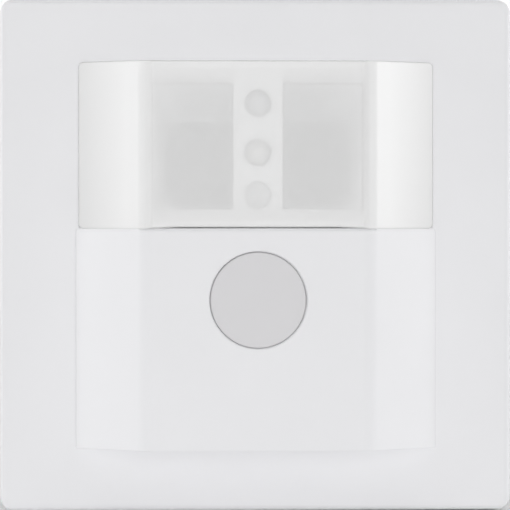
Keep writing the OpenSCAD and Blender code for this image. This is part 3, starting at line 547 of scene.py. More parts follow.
# %% [markdown]
# ## The lens's cross-section
# The lens is a sheet bent like the plate below it: a flat middle, two round bends and two flanks. The solid
# is all one body with its rim and its tongues, so the sheet is drawn afresh from its cross-section, and the
# veil has exactly two faces.

# %% Cross-section
FLAT_HALF = 17.6
BEND_R = 4.0
FLANK_DROP = 8.6
FLANK_RUN = 10.7
FLANK = math.atan2(FLANK_DROP, FLANK_RUN)
LENS_WALL = 1.2
LAP_GAP = 0.1
SLIT_FADE = (12.5, 17.5)
lens_low, lens_high = on_wall("lens")
LAP_BACK = on_wall("cover_frame")[1].z + LAP_GAP


def bulge_right(inset, steps=8):
    """The right half of the bulge as x and out, from the lens's side edge to the middle, and its flank."""
    top = lens_high.z - inset
    corner = FLAT_HALF - inset * math.tan(FLANK / 2)
    radius = BEND_R - inset
    run = radius * math.tan(FLANK / 2)

    def flank(x):
        return top - (x - corner) * math.tan(FLANK)

    points = [(lens_high.x, flank(lens_high.x))]
    for i in range(steps + 1):
        a = FLANK * (1 - i / steps)
        points.append((corner - run + radius * math.sin(a), top - radius + radius * math.cos(a)))
    points.append((SLIT_FADE[0], top))
    return points, flank


outer, outer_flank = bulge_right(0)
inner, inner_flank = bulge_right(LENS_WALL)
shelf_x = lens_high.x - (LAP_BACK - inner_flank(lens_high.x)) / math.tan(FLANK)
outer.insert(1, (shelf_x, outer_flank(shelf_x)))
inner[:1] = [(lens_high.x, LAP_BACK), (shelf_x, LAP_BACK)]
section = outer + [(-x, out) for x, out in reversed(outer)]
section += [(-x, out) for x, out in inner] + list(reversed(inner))
print("cross-section of", len(section), "points")

# %% [markdown]
# ## The lens sheet
# The cross-section is drawn out from the lens's lower edge to its upper one, as an extruder would, and the
# four corners and the rims are then rounded. Below, a thin dark slit parts the lens from the plate. It opens
# in the flat middle, and closes along the flanks.

# %% Sheet
LENS_CORNER = 0.8
LENS_EDGE = 0.3
SLIT_OPEN = 0.1
SLIT_SHUT = -0.2


def lower_edge(x):
    """How far up the lens's lower edge is."""
    share = min(max((abs(x) - SLIT_FADE[0]) / (SLIT_FADE[1] - SLIT_FADE[0]), 0), 1)
    return lens_low.y + SLIT_OPEN + (SLIT_SHUT - SLIT_OPEN) * share


def rounded_sheet(name, outline, corner, edge):
    """A sheet from its cross-section, with rounded corners and softened edges, in millimetres."""
    work = bmesh.new()
    rows = [[work.verts.new(at(x, lower_edge(x), out)) for x, out in outline],
            [work.verts.new(at(x, lens_high.y, out)) for x, out in outline]]
    count = len(outline)
    for i in range(count):
        work.faces.new((rows[0][i], rows[0][(i + 1) % count], rows[1][(i + 1) % count], rows[1][i]))
    for row in rows:
        for i in range(count // 2 - 1):
            work.faces.new((row[i], row[i + 1], row[count - 2 - i], row[count - 1 - i]))
    bmesh.ops.recalc_face_normals(work, faces=work.faces)
    far = lens_high.x * MM - JOIN
    ends = [e for e in work.edges if all(abs(v.co.x) > far for v in e.verts) and
            abs(e.verts[0].co.z - e.verts[1].co.z) < JOIN]
    bmesh.ops.bevel(work, geom=ends, offset=corner * MM, segments=6, profile=0.5, affect="EDGES")
    bmesh.ops.dissolve_limit(work, angle_limit=FLAT, verts=work.verts, edges=work.edges)
    rims = [e for e in work.edges if e.is_manifold and e.is_convex and e.calc_face_angle() > SHARP]
    bmesh.ops.bevel(work, geom=rims, offset=edge * MM, segments=2, profile=0.5, affect="EDGES",
                    clamp_overlap=True)
    mesh = bpy.data.meshes.new(name)
    work.to_mesh(mesh)
    work.free()
    mesh.materials.append(hdpe)
    return edged(mesh)


plain_sheet = rounded_sheet("plain_sheet", section, LENS_CORNER, LENS_EDGE)
print("plain sheet", len(plain_sheet.polygons), "faces")

# %% [markdown]
# ## The lens's ribs
# In the upper windows fine level lines show: the lens has ribs on its inside there. They are equal bars at an
# equal pitch, so a short node tree sets one bar on every point of a line. The bars are then joined with the
# sheet to one skin, because light that crosses inner faces would see the veil twice. A boolean loses the
# marks of sharp edges, so they are set again.

# %% Ribs
RIB_PITCH = 1.4
RIB_W = 0.9
RIB_T = 0.25
RIB_ROOT = 0.1
RIB_END = 15.6
BAR_TOP = 21.4
PILLAR_HALF = 3.85
hood_low, hood_high = on_wall("pir_baffle_right")


def combined(name, mesh, other, operation):
    """One mesh of two by a boolean: a union, or what both have in common."""
    base, tool = in_scene(name, mesh), in_scene(name + "_tool", other)
    combine = base.modifiers.new("combine", "BOOLEAN")
    combine.operation = operation
    combine.object = tool
    result = plain_mesh(base)
    for helper in (tool, base):
        bpy.data.objects.remove(helper)
    result.set_sharp_from_angle(angle=SHARP)
    return result


rib_tree, size = size_tree("lens_ribs", Bar="Vector")
bar = add_node(rib_tree, "GeometryNodeMeshCube", {"Size": size["Bar"]})
bars = add_node(rib_tree, "GeometryNodeInstanceOnPoints", {
    "Points": size["Places"], "Instance": bar.outputs["Mesh"]})
end_tree(rib_tree, bars.outputs[0], hdpe)
rib_count = int((hood_high.y - BAR_TOP) / RIB_PITCH)
rib_out = lens_high.z - LENS_WALL - RIB_T / 2 + RIB_ROOT
rib_places = [at(sx * (PILLAR_HALF + RIB_END) / 2, BAR_TOP + (i + 0.5) * RIB_PITCH, rib_out)
              for sx in (-1, 1) for i in range(rib_count)]
rib_bars = grown("rib_bars", rib_tree, rib_places, Bar=Vector((RIB_END - PILLAR_HALF, RIB_T, RIB_W)) * MM)
print(len(rib_places), "ribs")
finished("lens_sheet", combined("sheet_source", plain_sheet, rib_bars, "UNION"), "lens", hdpe)

# %% [markdown]
# ## The lens's rim and snap tongues
# Seen edge on, the same plastic is many millimetres thick and quite opaque. So the rim and the tongues are a
# piece of their own, with the plain white of thick polyethylene. They are the part of the solid that lies
# below the sheet, cut out with a boolean.

# %% Rim
RIM_GAP = 0.05
RIM_EDGE = 0.05
KEEPER_BACK = 5.0
KEEPER_MORE = 1.0
# Thick polyethylene: an even, waxy white with no veil.
hdpe_thick = moulded("polyethylene_thick_moulded", "#ebebeb", 0.45)
under, under_flank = bulge_right(LENS_WALL + RIM_GAP)
under[0] = (lens_high.x + KEEPER_MORE, under_flank(lens_high.x + KEEPER_MORE))
keeper_half = [(under[0][0], KEEPER_BACK)] + under
keeper_outline = keeper_half + [(-x, out) for x, out in reversed(keeper_half)]
keeper_ends = (lens_low.y + SLIT_OPEN, lens_high.y + KEEPER_MORE)
keeper = skin("keeper", [[at(x, up, out) for x, out in keeper_outline] for up in keeper_ends])
rim_solid = softened("lens", RIM_EDGE, steps=1)
finished("lens_rim", combined("rim_source", rim_solid, keeper, "INTERSECT"), "lens", hdpe_thick)

# %% [markdown]
# ## What the milky sheet blurs
# The sheet blurs what lies behind it, so edges there are soft. A veil alone doesn't blur, and true rough
# refraction would take the light from the pieces behind. So the soft edges, and the light and shade that the
# sheet spreads round them, are painted into the finishes behind the lens, by the distance from a rounded
# rectangle on the wall.

# %% A function for soft shapes
def inside_share(tree, half_x, low, high, corner, fade):
    """From 1 inside a rounded rectangle on the wall to 0 outside it, with all sizes in millimetres."""
    place = add_node(tree, "ShaderNodeTexCoord").outputs["Object"]
    flat = add_node(tree, "ShaderNodeVectorMath", {0: place, 1: (1, 0, 1)}, operation="MULTIPLY").outputs[0]
    middle = Vector((0, 0, (low + high) / 2)) * MM
    straight = Vector((half_x - corner, 0, (high - low) / 2 - corner)) * MM
    for operation, amount in (("SUBTRACT", middle), ("ABSOLUTE", middle), ("SUBTRACT", straight),
                              ("MAXIMUM", (0, 0, 0)), ("LENGTH", middle)):
        step = add_node(tree, "ShaderNodeVectorMath", {0: flat, 1: amount}, operation=operation)
        flat = step.outputs[0]
    share = add_node(tree, "ShaderNodeMapRange", {
        "Value": step.outputs["Value"], "From Min": (corner - fade) * MM, "From Max": (corner + fade) * MM,
        "To Min": 1.0, "To Max": 0.0}, interpolation_type="SMOOTHSTEP")
    return share.outputs["Result"]


print("soft shapes are given by half width, low, high, corner and fade, in mm")

# %% [markdown]
# ## The carrier's painted shade
# On the carrier the wings lie in the shade of the hoods, a bar crosses between the upper and the lower
# windows, the pillar is in full light, and a grey halo of shade shows round each of the three wells. That
# shade on the wings, the bar, the foot below the windows and round the wells is painted into the carrier's
# white: each is a soft shape with its own tone of painted shade, laid over the white from the back to the
# front, and the pillar keeps the carrier's own white.

# %% Painted shade on the carrier
WING_PAINTED_SHADE = (15.8, 9.5, 27.5, 3.5, 2.4)
BAR_PAINTED_SHADE = (15.0, BAR_TOP - 0.7, BAR_TOP, 0.1, 0.1)
PILLAR_OWN_WHITE = (PILLAR_HALF, 0.0, 40.0, 0.1, 0.1)
FOOT_PAINTED_SHADE = (16.0, 0.0, 8.0, 1.0, 0.8)
SPOT_R = 2.2
SPOT_FADE = 1.3
WELL_PAINTED_SHADES = {"ir_receiver": "#c3c3c4", "status_led": "#c8c8c9", "light_sensor": "#c8c8c9"}
carrier_tree = abs_matt.node_tree
carrier_white = own_colour(abs_matt)
# Painted shade on the wings, the bar and the foot; the pillar keeps the carrier's own white.
carrier_layers = [(inside_share(carrier_tree, *shape), tone) for shape, tone in (
    (WING_PAINTED_SHADE, linear("#a8a8a9")), (BAR_PAINTED_SHADE, linear("#989899")),
    (PILLAR_OWN_WHITE, carrier_white), (FOOT_PAINTED_SHADE, linear("#d2d2d3")))]
# Painted shade: a soft grey halo round each well, for the shade in and round it.
for node, grey in WELL_PAINTED_SHADES.items():
    up = middle_of(node).y
    well_shade = inside_share(carrier_tree, SPOT_R, up - SPOT_R, up + SPOT_R, SPOT_R, SPOT_FADE)
    carrier_layers.append((well_shade, linear(grey)))
    print(node, "at", round(up, 2), "mm up")
shaded(abs_matt, carrier_white, carrier_layers)

# %% [markdown]
# ## Behind the lens
# The white carrier with its pillar, wells and wings, and the sensors, show as pale shapes through the milky
# sheet. Nothing there shows more than its outline, so the softened solids do.

# %% Sensing pieces
dress({
    "sensor_carrier": ("lens_carrier", 0.03, abs_matt),
    "pir_sensor_left": ("left_sensor_can", 0.3, can_black),
    "pir_sensor_right": ("right_sensor_can", 0.3, can_black),
    "pir_window_left": ("left_filter", 0.05, silicon),
    "pir_window_right": ("right_filter", 0.05, silicon),
    "status_led": ("status_lamp", 0.05, led_resin),
    "light_sensor": ("brightness_sensor", 0.1, clear_resin),
    "ir_receiver": ("remote_receiver", 0.05, smoked_resin),
})

# %% [markdown]
# ## The wells' fit
# Each of the three parts shines or looks out of a round well. The sheet would blur the narrow gap round it,
# but a veil shows it as a dark ring, so the parts nearly fill their wells here: the round body, and the
# collar at its foot.

# %% Closer lamp and sensors
LAMP_R = 1.5
LAMP_FILL = 1.98
COLLAR_FILL = 2.04
for node, name in (("status_led", "status_lamp"), ("light_sensor", "brightness_sensor"),
                   ("ir_receiver", "remote_receiver")):
    up = middle_of(node).y
    collar = (COLLAR_FILL - LAMP_FILL) / (on_wall(node)[1].x - LAMP_R)
    for vertex in bpy.data.objects[name].data.vertices:
        reach = max(reach_of(vertex, up), JOIN)
        wider = reach * LAMP_FILL / LAMP_R if reach < LAMP_R else LAMP_FILL + (reach - LAMP_R) * collar
        move_out(vertex, up, wider / reach)
    print(name, "fills its well to", LAMP_FILL, "mm")

# %% [markdown]
# ## The carrier's fit
# The carrier fills the lens from top to bottom. The solid keeps some room for fitting it, which would show as
# two dark lines through the sheet, so its upper and lower ends reach almost to the lens's own walls here.

# %% Closer carrier
CARRIER_GROW = 0.19
END_DEPTH = 0.25
carrier_low, carrier_high = on_wall("sensor_carrier")
carrier_up = middle_of("sensor_carrier").y
reached = 0
for vertex in bpy.data.objects["lens_carrier"].data.vertices:
    up = vertex.co.z / MM
    if up > carrier_high.y - END_DEPTH or up < carrier_low.y + END_DEPTH:
        vertex.co.z += math.copysign(CARRIER_GROW * MM, up - carrier_up)
        reached += 1
print(reached, "points of the carrier moved to the lens's walls")

# %% [markdown]
# ## The painted light on the sensor hoods
# Each sensor looks out of a grey funnel, which keeps stray light and heat away from it. Through the lens its
# outer edge is soft, so painted light runs the grey out to white there, while the edges at the pillar and
# below the bar stay crisp. The part above the bar is painted paler, as painted light for what the ribs
# scatter.

# %% Painted light on the hoods
UPPER_PAINTED_LIGHT_AREA = (13.2, BAR_TOP - 10, 28.4, 5.0, 4.5)
LOWER_OWN_GREY_AREA = (14.0, 6.0, BAR_TOP + 3, 5.0, 2.8)
LOWER_TOP = (20.0, -20.0, BAR_TOP - 0.3, 0.4, 0.4)
RUN_OUT_PAINTED_LIGHT = linear("#f4f4f5")
UPPER_PAINTED_LIGHT = linear("#b4b5b7")
# Matt styrene: a flat mid grey, without any highlight that would show through the lens; painted light is laid
# over it below.
hood_grey = moulded("abs_grey_matt_moulded", "#575859", 0.65)
hood_tree = hood_grey.node_tree
lower_share = add_node(hood_tree, "ShaderNodeMath", {
    0: inside_share(hood_tree, *LOWER_OWN_GREY_AREA), 1: inside_share(hood_tree, *LOWER_TOP)}, operation="MULTIPLY")
# Painted light: white towards the soft outer edges and a paler grey above the bar; the hood's own grey stays
# in the lower window.
shaded(hood_grey, RUN_OUT_PAINTED_LIGHT, [
    (inside_share(hood_tree, *UPPER_PAINTED_LIGHT_AREA), UPPER_PAINTED_LIGHT),
    (lower_share.outputs[0], own_colour(hood_grey))])
print("hood finish", hood_grey.name)

# %% [markdown]
# ## The hoods' shape
# The funnel is a loft in a loop: up the outside, over the rim, down the slanted inside to the round hole for
# the sensor, and back. Its outer side slants more than the others. Two rings in the hole have a corner just
# short of their half width, which makes them round.

# %% Hoods
HOOD_WALL = 0.5
HOOD_EDGE = 0.15
HOOD_CORNER = 0.4
MOUTH_CORNER = 0.6
THROAT_X = 9.2
THROAT_HALF = 4.4
THROAT_INSET = 2
THROAT_RISE = 3
THROAT_CORNER = 3
SENSOR_X = 9.45
SENSOR_UP = 14.14
HOLE_R = 4.8
HOLE_EASE = 0.3
HOLE_RISE = 0.8


def hood(side):
    """The rings of the funnel on one side: -1 is left, 1 is right."""
    half = (hood_high - hood_low) / 2
    x, up = side * (hood_low.x + half.x), hood_low.y + half.y
    back, front = hood_low.z, hood_high.z
    hole = (side * SENSOR_X, SENSOR_UP)
    eased = HOLE_R + HOLE_EASE
    return [
        rounded_ring(x, up, back, half.x, half.y, HOOD_CORNER),
        rounded_ring(x, up, front - HOOD_EDGE, half.x, half.y, HOOD_CORNER),
        rounded_ring(x, up, front, half.x - HOOD_EDGE, half.y - HOOD_EDGE, HOOD_CORNER),
        rounded_ring(x, up, front, half.x - HOOD_WALL, half.y - HOOD_WALL, MOUTH_CORNER),
        rounded_ring(side * THROAT_X, (up + SENSOR_UP) / 2, back + THROAT_RISE,
                     THROAT_HALF, half.y - THROAT_INSET, THROAT_CORNER),
        rounded_ring(*hole, back + HOLE_RISE, eased, eased, HOLE_R),
        rounded_ring(*hole, back + HOLE_RISE, HOLE_R, HOLE_R, HOLE_R - HAIR),
        rounded_ring(*hole, back, HOLE_R, HOLE_R, HOLE_R - HAIR),
    ]


for node, name, side in (("pir_baffle_left", "left_hood", -1), ("pir_baffle_right", "right_hood", 1)):
    finished(name, skin(name, hood(side), joined=True), node, hood_grey)

# %% [markdown]
# ## The module's electronics and rear cover
# These show when the module is pulled off the wall insert: the grey rear cover with its latch arms, the three
# trimmers that a small screwdriver sets, and the plug. They are plain mouldings, so softening is enough.

# %% Module pieces
dress({
    "sensor_board": ("sensor_circuit_board", 0.08, board_white),
    "controller_chip": ("controller", 0.08, epoxy_black),
    "switch_body": ("key_switch", 0.15, epoxy_black),
    "switch_plunger": ("key_plunger", 0.2, pom_ivory),
    "trimmer_bodies": ("trimmer_cases", 0.12, pbt_blue),
    "time_trimmer": ("time_rotor_dial", 0.1, pom_white),
    "light_trimmer": ("light_rotor_dial", 0.1, pom_white),
    "range_trimmer": ("range_rotor_dial", 0.1, pom_white),
    "plug_body": ("plug_block", 0.12, epoxy_black),
    "rear_cover": ("module_back", 0.2, pc_grey),
})

# %% [markdown]
# ## The wall insert
# A plated support ring is riveted to a dark housing that goes into the wall box. At its back are four wire
# entries, and below them the heads of the terminal screws. Pressed sheet has a smaller edge radius than a
# moulding, and the four terminals are alike, so a loop adds them to the table.

# %% Insert pieces
INSERT = {
    "support_ring": ("ring_plate", 0.12, ring_zinc),
    "insert_housing": ("insert_pot", 0.2, pa_dark),
    "insert_cover": ("insert_lid_moulding", 0.2, pa_lid),
    "power_board": ("power_circuit_board", 0.08, board_green),
    "socket_body": ("socket_block", 0.15, epoxy_black),
    "terminal_bars": ("contact_bars", 0.08, brass),
}
TERMINALS = range(1, 5)
for number in TERMINALS:
    INSERT[f"terminal_body_{number}"] = (f"terminal_case_{number}", 0.15, pbt_light)
    INSERT[f"terminal_clamp_{number}"] = (f"wire_clamp_{number}", 0.1, screw_zinc)
dress(INSERT)

# %% [markdown]
# ## Where the fixings sit
# Screws, rivets and pins come in numbers, and one solid holds all of a kind. Walking along the edges of that
# solid from corner to corner finds its separate lumps, and the box round each lump gives the place of one
# fixing.

# %% A function that finds the lumps of a solid
def lumps(node):
    """The low and high corners of a solid's separate lumps in millimetres, as x, up and out."""
    work = bmesh.new()
    work.from_mesh(nodes[node].data)
    bmesh.ops.remove_doubles(work, verts=work.verts, dist=JOIN)
    left = set(work.verts)
    boxes = []
    while left:
        waiting = [left.pop()]
        spots = []
        while waiting:
            corner = waiting.pop()
            spots.append((corner.co.x / MM, corner.co.z / MM, -corner.co.y / MM))
            near = {edge.other_vert(corner) for edge in corner.link_edges} & left
            left -= near
            waiting += near
        boxes.append([Vector([pick(axis) for axis in zip(*spots)]) for pick in (min, max)])
    work.free()
    return sorted(boxes, key=lambda box: tuple(box[0]))


for node in ("ring_rivets", "board_screws", "plug_pins"):
    print(node, len(lumps(node)))

# %% [markdown]
# ## A tree for screws
# A screw is a head with a recess for the driver, a core and a helical thread. The thread could be a spun
# profile, but a spiral curve with a small profile swept along it is a true helix and takes few faces. The
# head looks up the local axis of the tree, and each screw is turned to where its own head looks: the board
# screws to the back, and the terminal screws down to the openings for the screwdriver.

# %% Screw trees
def screw_tree(name, crossed):
    """A screw with a single slot or a crossed recess, in a tree with named sizes in metres."""
    tree, size = size_tree(name, **{
        "Head Radius": "Float", "Head Rim": "Float", "Head Height": "Float", "Head Place": "Vector",
        "Slot": "Vector", "Core Radius": "Float", "Core Length": "Float", "Core Place": "Vector",
        "Thread Depth": "Float", "Thread Length": "Float", "Thread Place": "Vector", "Thread Turns": "Float",
        "Turn": "Vector"})
    head = add_node(tree, "GeometryNodeMeshCone", {
        "Vertices": 40, "Radius Top": size["Head Rim"], "Radius Bottom": size["Head Radius"],
        "Depth": size["Head Height"]})
    head_placed = add_node(tree, "GeometryNodeTransform", {
        "Geometry": head.outputs["Mesh"], "Translation": size["Head Place"]})
    slots = [add_node(tree, "GeometryNodeMeshCube", {"Size": size["Slot"]}).outputs["Mesh"]]
    if crossed:
        across = add_node(tree, "GeometryNodeTransform", {
            "Geometry": slots[0], "Rotation": (0, 0, math.radians(90))})
        slots.append(across.outputs[0])
    recess = add_node(tree, "GeometryNodeMeshBoolean", {
        "Mesh 1": head_placed.outputs[0], "Mesh 2": slots}, operation="DIFFERENCE", solver="EXACT")
    core = add_node(tree, "GeometryNodeMeshCylinder", {
        "Vertices": 32, "Radius": size["Core Radius"], "Depth": size["Core Length"]})
    core_placed = add_node(tree, "GeometryNodeTransform", {
        "Geometry": core.outputs["Mesh"], "Translation": size["Core Place"]})
    helix = add_node(tree, "GeometryNodeCurveSpiral", {
        "Resolution": 24, "Rotations": size["Thread Turns"], "Start Radius": size["Core Radius"],
        "End Radius": size["Core Radius"], "Height": size["Thread Length"]})
    ridge = add_node(tree, "GeometryNodeCurvePrimitiveCircle", {
        "Resolution": 4, "Radius": size["Thread Depth"]})
    thread = add_node(tree, "GeometryNodeCurveToMesh", {
        "Curve": helix.outputs["Curve"], "Profile Curve": ridge.outputs["Curve"], "Fill Caps": True})
    thread_placed = add_node(tree, "GeometryNodeTransform", {
        "Geometry": thread.outputs["Mesh"], "Translation": size["Thread Place"]})
    whole = add_node(tree, "GeometryNodeJoinGeometry", {"Geometry": [
        recess.outputs["Mesh"], core_placed.outputs[0], thread_placed.outputs[0]]})
    screws = add_node(tree, "GeometryNodeInstanceOnPoints", {
        "Points": size["Places"], "Instance": whole.outputs[0], "Rotation": size["Turn"]})
    end_tree(tree, screws.outputs[0], screw_zinc)
    return tree


slotted_screw = screw_tree("slotted_screw", crossed=False)
crossed_screw = screw_tree("crossed_screw", crossed=True)
print("screw trees:", slotted_screw.name, crossed_screw.name)

# %% [markdown]
# ## Board and terminal screws
# Four small screws hold the board and the rear cover to the front, and each wire terminal has one. A screw is
# known by its head, its shank and its pitch, so the named sizes of the tree are worked out from those. The
# terminal screws are bodies of their own, because they turn, so each gets its own mesh.

# %% Screws
THREAD_SHARE = 0.11
HEAD_EDGE = 0.15


def screw_sizes(head_d, head_h, shank_d, length, slot_w, slot_l, slot_t, pitch, turn_deg):
    """The named sizes of a screw tree, from the sizes of a screw in millimetres."""
    depth = shank_d * THREAD_SHARE
    thread = length - head_h - 2 * depth
    return {
        "Head Radius": head_d / 2 * MM, "Head Rim": (head_d / 2 - HEAD_EDGE) * MM,
        "Head Height": head_h * MM, "Head Place": (0, 0, -head_h * MM),
        "Slot": Vector((slot_w, slot_l, 2 * slot_t)) * MM,
        "Core Radius": (shank_d / 2 - depth) * MM, "Core Length": (length - head_h) * MM,
        "Core Place": (0, 0, -(length + head_h) / 2 * MM), "Thread Depth": depth * MM,
        "Thread Length": thread * MM, "Thread Place": (0, 0, -(length - depth) * MM),
        "Thread Turns": thread / pitch, "Turn": (math.radians(turn_deg), 0, 0)}


board_sizes = screw_sizes(head_d=4.0, head_h=1.4, shank_d=2.2, length=7.0, slot_w=0.6, slot_l=2.4,
                          slot_t=0.8, pitch=0.9, turn_deg=-90)
screw_places = [at((low.x + high.x) / 2, (low.y + high.y) / 2, low.z) for low, high in lumps("board_screws")]
finished("board_fixings", grown("board_fixings", crossed_screw, screw_places, **board_sizes),
         "board_screws", screw_zinc)
for number in TERMINALS:
    node, name = f"terminal_screw_{number}", f"clamp_screw_{number}"
    low, high = on_wall(node)
    sizes = screw_sizes(head_d=4.2, head_h=1.5, shank_d=2.5, length=high.y - low.y, slot_w=0.7, slot_l=5.0,
                        slot_t=0.8, pitch=0.5, turn_deg=180)
    place = at((low.x + high.x) / 2, low.y, (low.z + high.z) / 2)
    finished(name, grown(name, slotted_screw, [place], **sizes), node, screw_zinc)

# %% [markdown]
# ## Rivets
# Four rivets hold the support ring to the pot. A rivet is a shank with a flat head whose edge is rolled over.
# The head could be a turned profile, but a short cone on a cylinder shows the same edge at this size.

# %% Ring rivets
RIVET_HEAD = 0.6
RIVET_HEAD_R = 2.4
RIVET_RIM_R = 1.9
RIVET_SHANK_R = 1.4
rivet_tree, size = size_tree("ring_rivet", **{
    "Head Radius": "Float", "Head Rim": "Float", "Edge Height": "Float", "Head Place": "Vector",
    "Shank Radius": "Float", "Shank Length": "Float", "Shank Place": "Vector", "Turn": "Vector"})
edge = add_node(rivet_tree, "GeometryNodeMeshCone", {
    "Vertices": 40, "Radius Top": size["Head Rim"], "Radius Bottom": size["Head Radius"],
    "Depth": size["Edge Height"]})
edge_placed = add_node(rivet_tree, "GeometryNodeTransform", {
    "Geometry": edge.outputs["Mesh"], "Translation": size["Head Place"]})
shank = add_node(rivet_tree, "GeometryNodeMeshCylinder", {
    "Vertices": 32, "Radius": size["Shank Radius"], "Depth": size["Shank Length"]})
shank_placed = add_node(rivet_tree, "GeometryNodeTransform", {
    "Geometry": shank.outputs["Mesh"], "Translation": size["Shank Place"]})
rivet = add_node(rivet_tree, "GeometryNodeJoinGeometry", {
    "Geometry": [edge_placed.outputs[0], shank_placed.outputs[0]]})
rivets = add_node(rivet_tree, "GeometryNodeInstanceOnPoints", {
    "Points": size["Places"], "Rotation": size["Turn"], "Instance": rivet.outputs[0]})
end_tree(rivet_tree, rivets.outputs[0], screw_zinc)
rivet_boxes = lumps("ring_rivets")
rivet_length = rivet_boxes[0][1].z - rivet_boxes[0][0].z
rivet_sizes = {
    "Head Radius": RIVET_HEAD_R * MM, "Head Rim": RIVET_RIM_R * MM, "Edge Height": RIVET_HEAD * MM,
    "Head Place": (0, 0, -RIVET_HEAD * MM), "Shank Radius": RIVET_SHANK_R * MM,
    "Shank Length": (rivet_length - RIVET_HEAD) * MM,
    "Shank Place": (0, 0, -(rivet_length + RIVET_HEAD) / 2 * MM), "Turn": (math.radians(90), 0, 0)}
rivet_places = [at((low.x + high.x) / 2, (low.y + high.y) / 2, high.z) for low, high in rivet_boxes]
finished("ring_fixings", grown("ring_fixings", rivet_tree, rivet_places, **rivet_sizes),
         "ring_rivets", screw_zinc)

# %% [markdown]
# ## Plug pins
# Six square pins join the module to the insert. A pin is a bar with tapered tips, so that it finds its hole.
# The tips could be a bevel, but a cone with four sides, turned by 45 degrees, is a square taper already.

# %% Pins
PIN_TIP = 0.7
PIN_POINT = 0.25
pin_tree, size = size_tree("plug_pin", **{
    "Bar": "Vector", "Tip Width": "Float", "Tip Point": "Float", "Tip Length": "Float",
    "Tip Place": "Vector", "Turn": "Vector", "Tip Turn": "Vector"})
bar = add_node(pin_tree, "GeometryNodeMeshCube", {"Size": size["Bar"]})
tip = add_node(pin_tree, "GeometryNodeMeshCone", {
    "Vertices": 4, "Radius Top": size["Tip Point"], "Radius Bottom": size["Tip Width"],
    "Depth": size["Tip Length"]})
tip_square = add_node(pin_tree, "GeometryNodeTransform", {
    "Geometry": tip.outputs["Mesh"], "Translation": size["Tip Place"], "Rotation": (0, 0, math.radians(45))})
tip_below = add_node(pin_tree, "GeometryNodeTransform", {
    "Geometry": tip_square.outputs[0], "Rotation": size["Tip Turn"]})
pin = add_node(pin_tree, "GeometryNodeJoinGeometry", {
    "Geometry": [bar.outputs["Mesh"], tip_square.outputs[0], tip_below.outputs[0]]})
pins = add_node(pin_tree, "GeometryNodeInstanceOnPoints", {
    "Points": size["Places"], "Rotation": size["Turn"], "Instance": pin.outputs[0]})
end_tree(pin_tree, pins.outputs[0], brass)
pin_boxes = lumps("plug_pins")
pin_size = pin_boxes[0][1] - pin_boxes[0][0]
pin_w, bar_length = pin_size.x, pin_size.z - 2 * PIN_TIP
pin_sizes = {
    "Bar": Vector((pin_w, pin_w, bar_length)) * MM, "Tip Width": pin_w / math.sqrt(2) * MM,
    "Tip Point": pin_w * PIN_POINT * MM, "Tip Length": PIN_TIP * MM, "Tip Place": (0, 0, bar_length / 2 * MM),
    "Turn": (math.radians(90), 0, 0), "Tip Turn": (math.radians(180), 0, 0)}
pin_places = [at(*((low + high) / 2)) for low, high in pin_boxes]
finished("plug_contacts", grown("plug_contacts", pin_tree, pin_places, **pin_sizes), "plug_pins", brass)

# %% [markdown]
# ## Moulded boxes on the power board
# The relay, the film capacitor and the rectifier are moulded boxes. Their walls lean a little, so that they
# leave the mould, and step or meet at a parting line. Softened cubes would lack that, so each is a loft of
# rounded rectangles from the board backwards.

# %% Boxes
def boxed(name, node, corner, levels):
    """A moulded box within a solid's own box: levels are distances from the board and insets, in mm."""
    low, high = on_wall(node)
    middle, half = (low + high) / 2, (high - low) / 2
    return skin(name, [rounded_ring(middle.x, middle.y, high.z - rise, half.x - inset, half.y - inset, corner)
                       for rise, inset in levels])


BOXES = {
    "relay": ("relay_case", epoxy_black, 0.5, (
        (0, 0.1), (0.1, 0), (1.4, 0), (1.5, 0.1), (1.5, 0.3), (14.4, 0.45), (14.8, 0.6), (15.0, 1.0))),
    "film_capacitor": ("film_capacitor_box", box_yellow, 0.4, (
        (0, 0.5), (0.4, 0.5), (0.4, 0.1), (0.5, 0), (10.4, 0.1), (10.8, 0.25), (11.0, 0.6))),
    "rectifier": ("rectifier_block", epoxy_black, 0.15, (
        (0, 0.3), (1.3, 0.05), (1.4, 0), (1.6, 0), (1.7, 0.05), (2.9, 0.3), (3.0, 0.4))),
}
for node, (name, material, corner, levels) in BOXES.items():
    finished(name, boxed(name, node, corner, levels), node, material)

# %% [markdown]
# ## Round parts on the power board
# A storage capacitor is a sleeved aluminium can with a crimped groove. A varistor is a dipped disc. The fuse
# has a small round case, and the choke is a ferrite drum. All are round, so each is spun from its profile.

# %% Turned parts
BACK = Vector((0, 1, 0))
UP = Vector((0, 0, 1))
SIDE = Vector((1, 0, 0))


def board_foot(node):
    """The middle of a part's foot, where it stands on the power board."""
    middle = middle_of(node)
    return at(middle.x, middle.y, on_wall(node)[1].z)


